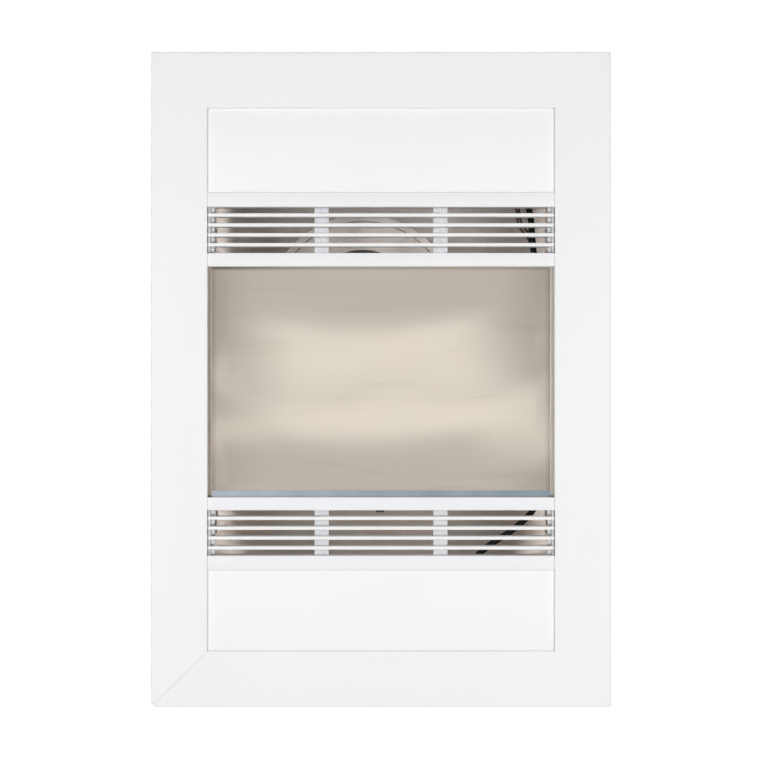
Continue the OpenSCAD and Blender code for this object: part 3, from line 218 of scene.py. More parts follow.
def studio_card(name, place, width, height, strength, soft_x, soft_z):
    """A glowing card with soft edges that only mirrors: cameras, lighting and shadows pass it by."""
    bpy.ops.object.select_all(action="DESELECT")
    bpy.ops.mesh.primitive_plane_add(size=1, rotation=(math.pi / 2, 0, 0))
    card = bpy.context.active_object
    card.name = name
    card.scale = (width, height, 1)
    bpy.ops.object.transform_apply(location=True, rotation=True, scale=True)
    card.location = place
    glow = bpy.data.materials.new(name)
    glow.use_nodes = True
    glow.node_tree.nodes.clear()
    where = add_node(glow, "ShaderNodeTexCoord", {})
    spot = add_node(glow, "ShaderNodeSeparateXYZ", {"Vector": where.outputs["Object"]})
    fade = []
    for axis, half, soft in (("X", width / 2, soft_x), ("Z", height / 2, soft_z)):
        away = add_node(glow, "ShaderNodeMath", {0: spot.outputs[axis]}, operation="ABSOLUTE")
        fade.append(add_node(glow, "ShaderNodeMapRange", {
            "Value": away.outputs[0], "From Min": half - soft, "From Max": half, "To Min": 1.0,
            "To Max": 0.0}, interpolation_type="SMOOTHSTEP"))
    cover = add_node(glow, "ShaderNodeMath", {0: fade[0].outputs[0], 1: fade[1].outputs[0]},
                     operation="MULTIPLY")
    light = add_node(glow, "ShaderNodeEmission", {"Color": card_white, "Strength": strength})
    clear = add_node(glow, "ShaderNodeBsdfTransparent", {})
    blend = add_node(glow, "ShaderNodeMixShader", {0: cover.outputs[0], 1: clear.outputs[0],
                                                   2: light.outputs[0]})
    add_node(glow, "ShaderNodeOutputMaterial", {"Surface": blend.outputs[0]})
    card.data.materials.append(glow)
    card.visible_camera = False
    card.visible_diffuse = False
    card.visible_shadow = False
    card.visible_transmission = False


studio_card("wall_card", (0, card_y - 0.02, 0), 2.6, 2.2, 0.45, 0.3, 0.3)
studio_card("grey_card", (-0.01, card_y, 0.24), 0.98, 1.5, 0.66, 0.2, 0.18)
studio_card("upper_panel", (-0.015, card_y + 0.02, 0.0715), 0.77, 0.217, 1.03, 0.19, 0.06)
studio_card("lower_panel", (0.02, card_y + 0.04, -0.0835), 0.96, 0.163, 1.05, 0.27, 0.045)
studio_card("right_panel", (0.36, card_y + 0.03, -0.088), 0.30, 0.26, 0.86, 0.1, 0.035)
studio_card("left_panel", (-0.41, card_y + 0.03, -0.135), 0.22, 0.11, 0.84, 0.05, 0.03)
studio_card("left_spot", (-0.39, card_y + 0.03, 0.012), 0.12, 0.07, 0.95, 0.05, 0.03)


# Housing
# The box is folded from galvanised sheet: two sides and two ends with flanges, spot-welded at the
# corners to a flat back with pressed ribs. Screws through the flanges hold it to the joists.
def pattern_place(material, size):
    """Object coordinates in which a pattern of unit scale repeats every given size, in metres."""
    where = add_node(material, "ShaderNodeTexCoord", {})
    scale = [1 / s for s in size] if isinstance(size, tuple) else [1 / size] * 3
    return add_node(material, "ShaderNodeMapping", {"Vector": where.outputs["Object"],
                                                    "Scale": scale}).outputs[0]


def grained(name, dark, light, size, smoothest, roughest, relief=0.0, **sockets):
    """A finish whose fine grain varies between two colours and two levels of roughness."""
    material, shader = new_material(name, **sockets)
    place = pattern_place(material, size)
    grain = add_node(material, "ShaderNodeTexNoise", {"Vector": place, "Scale": 1.0, "Detail": 3.0})
    tint = add_node(material, "ShaderNodeMixRGB", {"Fac": grain.outputs["Fac"], "Color1": srgb(dark),
                                                   "Color2": srgb(light)})
    matt = add_node(material, "ShaderNodeMapRange", {"Value": grain.outputs["Fac"],
                                                     "To Min": smoothest, "To Max": roughest})
    link(material, tint.outputs[0], shader.inputs["Base Color"])
    link(material, matt.outputs[0], shader.inputs["Roughness"])
    if relief:
        bump = add_node(material, "ShaderNodeBump", {"Height": grain.outputs["Fac"],
                                                     "Strength": relief, "Distance": 0.0003})
        link(material, bump.outputs[0], shader.inputs["Normal"])
    return material


def give(piece, material):
    """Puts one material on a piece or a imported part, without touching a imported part's mesh."""
    if not piece.material_slots:
        piece.data.materials.append(material)
    for slot in piece.material_slots:
        slot.link = "OBJECT"
        slot.material = material


def dress(material, *nodes):
    """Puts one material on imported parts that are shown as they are."""
    for node in nodes:
        give(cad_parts[node], material)


def fit(piece, material, body, finish, *nodes):
    """Gives a finished piece its material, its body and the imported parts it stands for."""
    give(piece, material)
    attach(piece, body)
    if nodes:
        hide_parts(*nodes)


def activate(piece):
    """Makes the piece the only selected one."""
    bpy.ops.object.select_all(action="DESELECT")
    bpy.context.view_layer.objects.active = piece
    piece.select_set(True)


def shaped_copy(node, name):
    """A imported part's shape as a piece of its own, with its corners joined and flat faces whole."""
    piece = bpy.data.objects.new(name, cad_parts[node].data.copy())
    bpy.context.scene.collection.objects.link(piece)
    piece.data.materials.clear()
    activate(piece)
    bpy.ops.object.mode_set(mode="EDIT")
    bpy.ops.mesh.select_all(action="SELECT")
    bpy.ops.mesh.remove_doubles(threshold=0.000002)
    bpy.ops.mesh.customdata_custom_splitnormals_clear()
    bpy.ops.mesh.dissolve_limited(angle_limit=math.radians(0.5))
    bpy.ops.object.mode_set(mode="OBJECT")
    return piece


def pick(piece, kind, test):
    """In edit mode, selects only the faces, edges or corners that pass the test."""
    bpy.ops.mesh.select_mode(type=kind)
    bpy.ops.mesh.select_all(action="DESELECT")
    mesh = bmesh.from_edit_mesh(piece.data)
    for part in {"VERT": mesh.verts, "EDGE": mesh.edges, "FACE": mesh.faces}[kind]:
        if test(part):
            part.select_set(True)
    bmesh.update_edit_mesh(piece.data)


def round_edges(piece, width, segments, test):
    """Bevels the edges that pass the test."""
    activate(piece)
    bpy.ops.object.mode_set(mode="EDIT")
    pick(piece, "EDGE", test)
    bpy.ops.mesh.bevel(offset=width, segments=segments, profile=0.5, affect="EDGES")
    bpy.ops.object.mode_set(mode="OBJECT")


def cut_across(cuts):
    """In edit mode, cuts the whole mesh through at each given place along its axis."""
    for axis, value in cuts:
        direction = Vector([1.0 if k == axis else 0.0 for k in range(3)])
        bpy.ops.mesh.select_all(action="SELECT")
        bpy.ops.mesh.bisect(plane_co=value * direction, plane_no=direction)


def front_edge(edge, front, along):
    """True for an edge that lies in the front plane and runs along one axis."""
    a, b = edge.verts[0].co, edge.verts[1].co
    in_front = abs(a.y - front) < flush and abs(b.y - front) < flush
    return in_front and abs(a[along] - b[along]) > 0.6 * (a - b).length


def smooth(piece, angle=35):
    """Smooth shading with crisp edges past the given angle."""
    activate(piece)
    bpy.ops.object.shade_smooth_by_angle(angle=math.radians(angle))


def soft_copy(node, name, width, segments=2, angle=40):
    """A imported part's shape with its sharp edges rounded to the given width."""
    piece = shaped_copy(node, name)
    bevel = piece.modifiers.new("edges", "BEVEL")
    bevel.width = width
    bevel.segments = segments
    bevel.angle_limit = math.radians(angle)
    bevel.loop_slide = False
    bpy.ops.object.modifier_apply(modifier="edges")
    smooth(piece)
    return piece


def block(name, low, high):
    """A box with the given corners, selected and active, with its place in its mesh."""
    bpy.ops.object.select_all(action="DESELECT")
    low, high = Vector(low), Vector(high)
    bpy.ops.mesh.primitive_cube_add(size=1, location=(low + high) / 2)
    piece = bpy.context.active_object
    piece.scale = high - low
    piece.name = piece.data.name = name
    bpy.ops.object.transform_apply(location=True, rotation=True, scale=True)
    return piece


# The numbers of two axes in a place, and how near a plane counts as flush with it
X, Z = 0, 2
flush = 0.00005

# Hot-dip galvanised sheet, passivated to a warm matt grey: zinc crystals about 9 mm across show
# as soft patches that shift a little in brightness and gloss.
galvanised, shader = new_material("hot_dip_galvanised_sheet", Metallic=0.45)
place = pattern_place(galvanised, 0.009)
wobble = add_node(galvanised, "ShaderNodeTexNoise", {"Vector": place, "Scale": 1.3, "Detail": 2.0})
bent = add_node(galvanised, "ShaderNodeMixRGB", {"Fac": 0.5, "Color1": place,
                                                 "Color2": wobble.outputs["Color"]},
                blend_type="LINEAR_LIGHT")
crystals = add_node(galvanised, "ShaderNodeTexVoronoi", {"Vector": bent.outputs[0], "Scale": 1.0})
shade = add_node(galvanised, "ShaderNodeSeparateColor", {"Color": crystals.outputs["Color"]})
tones = add_node(galvanised, "ShaderNodeMixRGB", {"Fac": shade.outputs[0], "Color1": srgb("#CAC1BA"),
                                                  "Color2": srgb("#D0C8C1")})
sheen = add_node(galvanised, "ShaderNodeMapRange", {"Value": shade.outputs[1], "To Min": 0.44,
                                                    "To Max": 0.6})
link(galvanised, tones.outputs[0], shader.inputs["Base Color"])
link(galvanised, sheen.outputs[0], shader.inputs["Roughness"])

dress(galvanised, "housing_sides", "housing_ends")

# The back: a sheet with eight pressed ribs, which stand inwards clear of every bracket
back_low, back_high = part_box("housing_back")
sheet = back_high.y - back_low.y
rib_rows = (-0.158, -0.134, -0.075, -0.045, -0.015, 0.124, 0.148, 0.170)
rib_w = 0.012
rib_half = 0.128
rib_slope = 0.0035
rib_depth = 0.0009
press_r = 0.0008
channel_edge = 0.0004
bpy.ops.object.select_all(action="DESELECT")
bpy.ops.mesh.primitive_plane_add(size=1, location=(0, back_high.y, 0), rotation=(-math.pi / 2, 0, 0))
back = bpy.context.active_object
back.name = back.data.name = "pressed_back"
back.scale = (back_high.x - back_low.x, back_high.z - back_low.z, 1)
bpy.ops.object.transform_apply(location=True, rotation=True, scale=True)
bpy.ops.object.mode_set(mode="EDIT")
cut_across([(X, -rib_half), (X, rib_half)])
cut_across([(Z, z + s * rib_w / 2) for z in rib_rows for s in (-1, 1)])
pick(back, "FACE", lambda f: abs(f.calc_center_median().x) < rib_half and any(
    abs(f.calc_center_median().z - z) < rib_w / 4 for z in rib_rows))
bpy.ops.mesh.inset(thickness=rib_slope, depth=-rib_depth)
bpy.ops.object.mode_set(mode="OBJECT")
thick = back.modifiers.new("sheet", "SOLIDIFY")
thick.thickness = sheet
thick.offset = -1
pressed = back.modifiers.new("soft_press", "BEVEL")
pressed.width = press_r
pressed.segments = 3
pressed.angle_limit = math.radians(10)
for modifier in ("sheet", "soft_press"):
    bpy.ops.object.modifier_apply(modifier=modifier)
smooth(back, 50)
fit(back, galvanised, "root", "galvanised_sheet", "housing_back")

channels = soft_copy("side_channels", "side_rails", channel_edge)
fit(channels, galvanised, "root", "galvanised_sheet", "side_channels")


# Exhaust blower
# The scroll and its round front plate are galvanised pressings. A moulded inlet ring guides the
# air into a drum of rolled aluminium blades, which a small enamelled motor turns.
# Moulded nylon, dark and slightly grainy, with a soft sheen
dark_nylon = grained("moulded_dark_nylon", "#3A3836", "#454340", 0.0012, 0.42, 0.58, IOR=1.53)
# Baked enamel with a faint hammered texture
motor_enamel = grained("baked_motor_enamel", "#4B4641", "#59534C", 0.0016, 0.3, 0.45, 0.25, IOR=1.5)
# Mill-finish aluminium, with the soft lines that rolling leaves
rolled_aluminium = grained("rolled_aluminium", "#B4B6B8", "#C8CACB", (0.0008, 0.012, 0.0008),
                           0.32, 0.48, Metallic=1.0)
# Ground steel shafts shine, with a trace of the grinding marks
ground_steel = grained("ground_steel", "#BDBEC0", "#D2D3D4", 0.0007, 0.18, 0.3, Metallic=1.0)
# Zinc plating on screws, keys and springs: bright, faintly mottled
zinc_plate = grained("bright_zinc_plate", "#AEB1B5", "#C9CBCD", 0.0015, 0.22, 0.4, Metallic=1.0)

motor_edge = 0.0006
dress(galvanised, "blower_scroll", "blower_front_plate")
dress(dark_nylon, "inlet_ring")
motor = soft_copy("exhaust_motor", "blower_motor", motor_edge)
fit(motor, motor_enamel, "root", "motor_enamel", "exhaust_motor")
dress(rolled_aluminium, "exhaust_impeller")
dress(ground_steel, "exhaust_shaft")
dress(zinc_plate, "motor_screws", "impeller_nut")


# Duct spigot and damper
# The spigot is moulded in white ABS and takes an 80 mm duct. Two half-moon flaps hang on a steel
# pin in it and open when the blower runs.
# Moulded ABS, off-white with a fine satin grain
duct_plastic = grained("moulded_white_abs", "#DCDBD7", "#E6E5E2", 0.002, 0.34, 0.46, IOR=1.53)
spigot_edge = 0.00035
spigot = soft_copy("duct_spigot", "duct_collar", spigot_edge)
fit(spigot, duct_plastic, "root", "duct_white", "duct_spigot")
dress(duct_plastic, "damper_flap_front", "damper_flap_rear")
dress(ground_steel, "damper_pin")


# Heater
# A long crossflow rotor of rolled blades turns in a sheet casing and drives air down through a
# ceramic heater with aluminium fins. A phenolic cut-out hangs in its outlet.
# Phenolic resin is nearly black and dull, and sintered bronze is matt with a speckled grain
phenolic = grained("moulded_phenolic", "#262422", "#322F2D", 0.0011, 0.35, 0.5, IOR=1.6)
bronze = grained("sintered_bronze", "#A98452", "#C39E68", 0.0009, 0.4, 0.6, Metallic=1.0)
frame_edge = 0.0005
cutout_edge = 0.0004
dress(rolled_aluminium, "heater_impeller", "ptc_elements")
dress(ground_steel, "heater_shaft")
motor = soft_copy("heater_motor", "crossflow_motor", motor_edge)
fit(motor, motor_enamel, "root", "motor_enamel", "heater_motor")
dress(bronze, "heater_bearing")
dress(galvanised, "heater_end_plates", "heater_casing", "heater_tongue")
heater_frame = soft_copy("ptc_frame", "heater_frame", frame_edge)
fit(heater_frame, dark_nylon, "root", "dark_polymer", "ptc_frame")
cutout = soft_copy("thermal_cutout", "thermal_switch", cutout_edge)
fit(cutout, phenolic, "root", "cutout_phenolic", "thermal_cutout")


# Partition and deflector
# A flat galvanised sheet divides the intake from the warm outlet, and a curved one below it turns
# the warm air forwards through the lower grille.
dress(galvanised, "partition_plate", "air_deflector")


# Terminal box, cable gland and capacitor
# The supply cable enters through a nylon gland and is clamped in a moulded box. A plastic-cased
# run capacitor is screwed to the back at the top.
# Moulded polycarbonate, warm ivory with a fine matt grain
box_plastic = grained("moulded_ivory_polycarbonate", "#E4E1D9", "#EDEBE5", 0.0018, 0.4, 0.55, IOR=1.58)
box_edge = 0.0007
clamp_edge = 0.0003
gland_edge = 0.0006
for node, name, edge in (("terminal_box", "box_base", box_edge), ("terminal_lid", "box_lid", box_edge),
                         ("terminal_block", "wire_clamps", clamp_edge),
                         ("run_capacitor", "capacitor", box_edge)):
    moulding = soft_copy(node, name, edge)
    fit(moulding, box_plastic, "root", "box_plastic", node)
gland = soft_copy("cable_gland", "gland", gland_edge)
fit(gland, dark_nylon, "root", "dark_polymer", "cable_gland")


# Lead and motor wires
# A black PVC lead runs from the terminal box to the capacitor, clipped along the right side, and
# two thin brown wires run on from there, behind the lead and down to the motor.
# The routes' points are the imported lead's and wires' own, in millimetres.
lead_route = (
    (9, 138, -206), (16, 138, -206), (25, 137.5, -206), (36, 134, -205.5), (48, 124, -204),
    (60, 106, -200), (68, 84, -193), (74, 62, -184), (78, 44, -175), (82, 32, -165),
    (89, 26, -155.5), (101, 25, -146), (114, 25.5, -137.5), (126, 26.5, -128.5), (136, 28, -118),
    (144, 29, -105), (148, 30, -90), (149.5, 30, -70), (150, 30, -50), (150, 30, -30),
    (150, 30, -10), (150, 30, 10), (150, 30, 30), (150, 30, 50), (149, 30, 68), (145, 29, 84),
    (140.5, 28, 100), (137, 27, 116), (135.6, 27, 132), (134, 28, 148), (130, 32, 163),
    (122, 42, 176), (113, 58, 186), (105, 78, 192), (99, 98, 195), (96, 114, 196.5),
    (96, 129, 196.5))
wire_route = (
    (104, 129, 196.5), (104, 119, 196.5), (107, 108, 196), (114, 97, 194), (119, 84, 190),
    (123, 66, 181), (125, 48, 168), (125, 38, 154), (126, 34, 144), (129, 33, 137.5),
    (134, 36, 132), (138, 43, 126), (140.5, 49, 117), (141.5, 56, 108), (140, 65, 99),
    (135, 77, 91), (127, 92, 83), (119, 108, 77), (107, 127, 71), (90, 139, 67), (70, 142.2, 66),
    (48, 142.2, 65.5), (26, 142.2, 65), (8, 142.2, 65), (-4, 141.6, 65), (-10.5, 140, 65),
    (-13, 137.4, 65), (-13, 133.8, 65))
second_offset = (-2.2, 0, -2.6)
lead_r = 0.0028
wire_r = 0.0011
clip_edge = 0.0003


def tube(name, route, radius):
    """A smooth round tube through the points of a route in millimetres, as a mesh."""
    curve = bpy.data.curves.new(name, "CURVE")
    curve.dimensions = "3D"
    curve.bevel_depth = radius
    curve.bevel_resolution = 5
    curve.resolution_u = 5
    curve.use_fill_caps = True
    spline = curve.splines.new("BEZIER")
    spline.bezier_points.add(len(route) - 1)
    for knot, place in zip(spline.bezier_points, route):
        knot.co = Vector(place) / 1000
        knot.handle_left_type = knot.handle_right_type = "AUTO"
    piece = bpy.data.objects.new(name, curve)
    bpy.context.scene.collection.objects.link(piece)
    activate(piece)
    bpy.ops.object.convert(target="MESH")
    piece = bpy.context.active_object
    smooth(piece, 50)
    return piece


# PVC covers: the lead's is black and dull, the wires' brown with a soft sheen
pvc_sheath = grained("black_pvc_sheath", "#060606", "#0E0E0E", 0.003, 0.5, 0.7, IOR=1.4)
wire_insulation = grained("brown_pvc_insulation", "#5A4234", "#6B5142", 0.002, 0.35, 0.5, IOR=1.53)
lead = tube("supply_lead", lead_route, lead_r)
fit(lead, pvc_sheath, "root", "lead_sheath", "black_lead")
first = tube("motor_wire_pair", wire_route, wire_r)
second = tube("second_wire", [Vector(p) + Vector(second_offset) for p in wire_route], wire_r)
activate(first)
second.select_set(True)
bpy.ops.object.join()
fit(first, wire_insulation, "root", "wire_brown", "motor_wires")
clips = soft_copy("lead_clips", "cable_clips", clip_edge)
fit(clips, box_plastic, "root", "box_plastic", "lead_clips")


# Trim frame
# Four lengths of extruded aluminium, mitred and joined by corner keys, powder coated satin white.
# The mitres are tight, but the lower left one shows more, and its outer corner is worn off.
trim_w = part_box("trim_rail_right")[1].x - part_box("trim_rail_left")[0].x
trim_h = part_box("trim_rail_top")[1].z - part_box("trim_rail_bottom")[0].z
mitre_reach = 0.0006


def powder_coat(name, colour, roughness):
    """A baked coat: faint clouds of tone 120 mm wide over a fine orange peel, 2 mm wide."""
    material, shader = new_material(name, IOR=1.5)
    place = pattern_place(material, 0.002)
    peel = add_node(material, "ShaderNodeTexNoise", {"Vector": place, "Scale": 1.0, "Detail": 2.0})
    cloud_place = pattern_place(material, 0.12)
    cloud = add_node(material, "ShaderNodeTexNoise", {"Vector": cloud_place, "Scale": 1.0,
                                                      "Detail": 1.0})
    dull = [c * 0.985 for c in srgb(colour)[:3]] + [1.0]
    tint = add_node(material, "ShaderNodeMixRGB", {"Fac": cloud.outputs["Fac"], "Color1": dull,
                                                   "Color2": srgb(colour)})
    matt = add_node(material, "ShaderNodeMapRange", {"Value": peel.outputs["Fac"],
                                                     "To Min": roughness - 0.05,
                                                     "To Max": roughness + 0.05})
    bump = add_node(material, "ShaderNodeBump", {"Height": peel.outputs["Fac"], "Strength": 0.08,
                                                 "Distance": 0.0002})
    link(material, tint.outputs[0], shader.inputs["Base Color"])
    link(material, matt.outputs[0], shader.inputs["Roughness"])
    link(material, bump.outputs[0], shader.inputs["Normal"])
    return material


def shift(piece, test, offset):
    """Moves the corners that pass the test."""
    activate(piece)
    bpy.ops.object.mode_set(mode="EDIT")
    pick(piece, "VERT", test)
    bpy.ops.transform.translate(value=offset)
    bpy.ops.object.mode_set(mode="OBJECT")


def on_mitre(corner, side, end):
    """True for a corner of a rail's mesh on the mitre at one side and end of the frame."""
    reach = corner.co.x * side - corner.co.z * end
    outside = corner.co.x * side > 0.1 and corner.co.z * end > 0.1
    return outside and abs(reach - (trim_w - trim_h) / 2) < mitre_reach


# Each rail's end is moved this far to close its mitre, and then its edges are rounded
tight_mitre = 0.00019
loose_mitre = 0.00012
mitre_edge = 0.0002
worn_corner = 0.0048
outer_edge = 0.0012
inner_edge = 0.0003
# Polyester powder coat on aluminium, white and satin, so that highlights spread wide and soft
trim_coat = powder_coat("satin_white_powder_coat", "#F4F4F4", 0.45)
for name, rail_side, rail_end in (("top", 0, 1), ("bottom", 0, -1), ("left", -1, 0), ("right", 1, 0)):
    node = "trim_rail_" + name
    rail = shaped_copy(node, "trim_" + name)
    low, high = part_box(node)
    along, across = (X, Z) if rail_side == 0 else (Z, X)
    outer = max(abs(low[across]), abs(high[across]))
    for other in (-1, 1):
        side, end = (other, rail_end) if rail_side == 0 else (rail_side, other)
        closing = loose_mitre if (side, end) == (-1, -1) else tight_mitre
        step = Vector([other * closing if axis == along else 0.0 for axis in range(3)])
        shift(rail, lambda v: on_mitre(v, side, end), step)
    if name in ("left", "bottom"):
        round_edges(rail, worn_corner, 3, lambda e: all(
            v.co.x < -trim_w / 2 + 0.002 and v.co.z < -trim_h / 2 + 0.002 for v in e.verts)
            and abs(e.verts[0].co.y - e.verts[1].co.y) > 0.003)
    round_edges(rail, outer_edge, 4, lambda e: front_edge(e, low.y, along) and all(
        abs(abs(v.co[across]) - outer) < 0.0005 for v in e.verts))
    round_edges(rail, inner_edge, 3, lambda e: front_edge(e, low.y, along))
    round_edges(rail, mitre_edge, 2, lambda e: all(
        abs(v.co.y - low.y) < flush and on_mitre(v, math.copysign(1, v.co.x), math.copysign(
            1, v.co.z)) for v in e.verts))
    # The bevels' rounding errors stay behind the rail's own face
    for v in rail.data.vertices:
        v.co.y = max(v.co.y, low.y)
    smooth(rail)
    fit(rail, trim_coat, "root", "trim_white", node)
dress(zinc_plate, "corner_keys", "corner_key_screws", "trim_clips", "trim_clip_rivets")


# Plate channels and ledge
# Thin folded stainless strips hold the plate at its sides, and a bluish zinc-coated ledge, folded
# from sheet, carries its lower edge.
near = 0.0001
side_close = 0.00045
ledge_drop = 0.001
ledge_half = 0.15
# Zinc-coated sheet, bluish and matt, in stretches about 30 mm long that darken to the right
ledge_zinc, shader = new_material("bluish_zinc_sheet", Metallic=0.4, Roughness=0.48)
stretches = add_node(ledge_zinc, "ShaderNodeTexNoise", {
    "Vector": pattern_place(ledge_zinc, (0.03, 1, 1)), "Scale": 1.0, "Detail": 4.0})
ledge_place = add_node(ledge_zinc, "ShaderNodeTexCoord", {})
spot = add_node(ledge_zinc, "ShaderNodeSeparateXYZ", {"Vector": ledge_place.outputs["Object"]})
# The colour darkens steadily from left to right, with the stretches laid over it
rightward_ramp = add_node(ledge_zinc, "ShaderNodeMapRange", {
    "Value": spot.outputs["X"], "From Min": -ledge_half, "From Max": ledge_half, "To Min": -0.35,
    "To Max": 0.4})
ledge_darkening = add_node(ledge_zinc, "ShaderNodeMath", {0: stretches.outputs["Fac"], 1: rightward_ramp.outputs[0]},
                operation="ADD", use_clamp=True)
tint = add_node(ledge_zinc, "ShaderNodeMixRGB", {"Fac": ledge_darkening.outputs[0], "Color1": srgb("#A0A7B0"),
                                                 "Color2": srgb("#6F7F88")})
link(ledge_zinc, tint.outputs[0], shader.inputs["Base Color"])
for side, name, dark, light in ((-1, "left", "#978C80", "#A59A8E"), (1, "right", "#B2ADA7", "#C0BBB5")):
    node = "plate_channel_" + name
    channel = shaped_copy(node, "channel_" + name)
    outside = max(abs(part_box(node)[0].x), abs(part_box(node)[1].x))
    shift(channel, lambda v: v.co.x * side > outside - near, (side * side_close, 0, 0))
    smooth(channel)
    # Brushed stainless, silky, with grain that runs up the strip. The left one is painted darker, as
    # painted shade.
    brushed = grained("brushed_stainless_strip_" + name, dark, light, (0.0006, 0.0006, 0.03), 0.3,
                      0.4, Metallic=0.7)
    fit(channel, brushed, "root", "plate_edge", node)
ledge = shaped_copy("plate_ledge", "ledge")
ledge_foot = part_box("plate_ledge")[0].z
shift(ledge, lambda v: v.co.z < ledge_foot + near, (0, 0, -ledge_drop))
smooth(ledge)
fit(ledge, ledge_zinc, "root", "galvanised_sheet", "plate_ledge")


# Centre plate
# A mirror-polished stainless sheet, slightly wavy from rolling and from its clamped edges. The
# metal has a warm tone that drifts a little, long faint smears lie across it from wiping, and
# painted shade darkens its top and side edges.
plate_low, plate_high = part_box("centre_plate")
plate_w = plate_high.x - plate_low.x
plate_h = plate_high.z - plate_low.z
grid_columns = 150
grid_rows = 100
wave_height = 0.00011
flat_margin = 0.05
# Painted shade lies along the top edge, most of all at its left end, and along both sides. It starts
# this far below the top or out from the middle, and is full at the second distance.
top_shade_span = (0.0042, 0.0008)
side_shade_span = (0.1425, 0.149)
# Polished stainless mirrors the room, a little blurred. Its streaks lie some 30 mm apart, its
# drifts of tone 35 mm and its smears 18 mm, and all are long and level.
polished, shader = new_material("polished_stainless_steel", Metallic=1.0)
place = pattern_place(polished, (0.25, 0.25, 0.03))
streaks = add_node(polished, "ShaderNodeTexNoise", {"Vector": place, "Scale": 1.0, "Detail": 3.0})
drift_place = pattern_place(polished, (0.09, 0.09, 0.035))
drift = add_node(polished, "ShaderNodeTexNoise", {"Vector": drift_place, "Scale": 1.0, "Detail": 2.0,
                                                  "Distortion": 0.5})
tone = add_node(polished, "ShaderNodeMapRange", {"Value": drift.outputs["Fac"], "From Min": 0.35,
                                                 "From Max": 0.65})
warmth = add_node(polished, "ShaderNodeMixRGB", {"Fac": tone.outputs[0], "Color1": srgb("#E0D8CA"),
                                                 "Color2": srgb("#E1D7CB")})
smear_place = pattern_place(polished, (0.17, 0.17, 0.018))
smears = add_node(polished, "ShaderNodeTexNoise", {"Vector": smear_place, "Scale": 1.0,
                                                   "Detail": 1.5, "Distortion": 0.7})
wiped = add_node(polished, "ShaderNodeMapRange", {"Value": smears.outputs["Fac"], "From Min": 0.55,
                                                  "From Max": 0.78, "To Max": 0.36})
tint = add_node(polished, "ShaderNodeMixRGB", {"Fac": wiped.outputs[0], "Color1": warmth.outputs[0],
                                               "Color2": srgb("#C9C0B4")})
haze = add_node(polished, "ShaderNodeMapRange", {"Value": streaks.outputs["Fac"], "To Min": 0.065,
                                                 "To Max": 0.11})
# Painted shade: the colour darkens towards #8A7E72 along the top edge, most at its left end, and along
# both sides
where = add_node(polished, "ShaderNodeTexCoord", {})
spot = add_node(polished, "ShaderNodeSeparateXYZ", {"Vector": where.outputs["Object"]})
top_edge_shading = add_node(polished, "ShaderNodeMapRange", {"Value": spot.outputs["Z"],
                                                "From Min": plate_high.z - top_shade_span[0],
                                                "From Max": plate_high.z - top_shade_span[1]},
               interpolation_type="SMOOTHSTEP")
left_end_weight = add_node(polished, "ShaderNodeMapRange", {"Value": spot.outputs["X"], "From Min": -0.15,
                                                   "From Max": -0.05, "To Min": 1.0, "To Max": 0.45})
top_painted_shade = add_node(polished, "ShaderNodeMath", {0: top_edge_shading.outputs[0], 1: left_end_weight.outputs[0]},
                operation="MULTIPLY")
out = add_node(polished, "ShaderNodeMath", {0: spot.outputs["X"]}, operation="ABSOLUTE")
side_painted_shade = add_node(polished, "ShaderNodeMapRange", {
    "Value": out.outputs[0], "From Min": side_shade_span[0], "From Max": side_shade_span[1], "To Max": 0.38},
    interpolation_type="SMOOTHSTEP")
painted_shade_mask = add_node(polished, "ShaderNodeMath", {0: top_painted_shade.outputs[0], 1: side_painted_shade.outputs[0]},
                  operation="MAXIMUM")
shaded_colour = add_node(polished, "ShaderNodeMixRGB", {"Fac": painted_shade_mask.outputs[0],
                                                  "Color1": tint.outputs[0],
                                                  "Color2": srgb("#8A7E72")})
link(polished, shaded_colour.outputs[0], shader.inputs["Base Color"])
link(polished, haze.outputs[0], shader.inputs["Roughness"])

bpy.ops.object.select_all(action="DESELECT")
bpy.ops.mesh.primitive_grid_add(x_subdivisions=grid_columns, y_subdivisions=grid_rows, size=1,
                                location=((plate_low.x + plate_high.x) / 2, plate_low.y,
                                          (plate_low.z + plate_high.z) / 2),
                                rotation=(math.pi / 2, 0, 0))
plate = bpy.context.active_object
plate.name = plate.data.name = "polished_plate"
plate.scale = (plate_w, plate_h, 1)
bpy.ops.object.transform_apply(location=True, rotation=True, scale=True)
# Two slow waves that bend each other, and that die away towards the clamped edges
for v in plate.data.vertices:
    u = (v.co.x - plate_low.x) / plate_w
    w = (v.co.z - plate_low.z) / plate_h
    edge = min(u, 1 - u, w, 1 - w)
    calm = min(1.0, edge / flat_margin)
    wave = math.sin(9 * u + 2.2 * math.sin(5 * w)) + math.sin(13 * w + 1.7 * math.sin(4 * u))
    v.co.y += calm * wave_height * wave / 2
thick = plate.modifiers.new("sheet", "SOLIDIFY")
thick.thickness = plate_high.y - plate_low.y
thick.offset = -1
bpy.ops.object.modifier_apply(modifier="sheet")
smooth(plate, 30)
fit(plate, polished, "root", "polished_stainless", "centre_plate")


# Grilles
# Each grille is a frame of two hollow rails with four thin bars between end plates. Two cross-bars
# pressed with columns of fine slots stiffen it, small white pads sit on the end plates between the
# bars, and a leaf spring at each end holds the grille in place.
side_stretch = 0.0005
rail_edge = 0.0005
bar_edge = 0.0011
end_edge = 0.0003
bar_tenon = 0.0022
pad_r = 0.0025
pad_h = 0.0036
pad_dome = 0.0021
pad_lift = 0.0002
pad_y = -0.0065
slot_columns = 6
slot_rows = 30
slot_margin = 0.0001
slot_depth = 0.0009
crossbar_w = 0.0122
bar_t = 0.0032
bar_drop = 0.0004
gap_count = 5
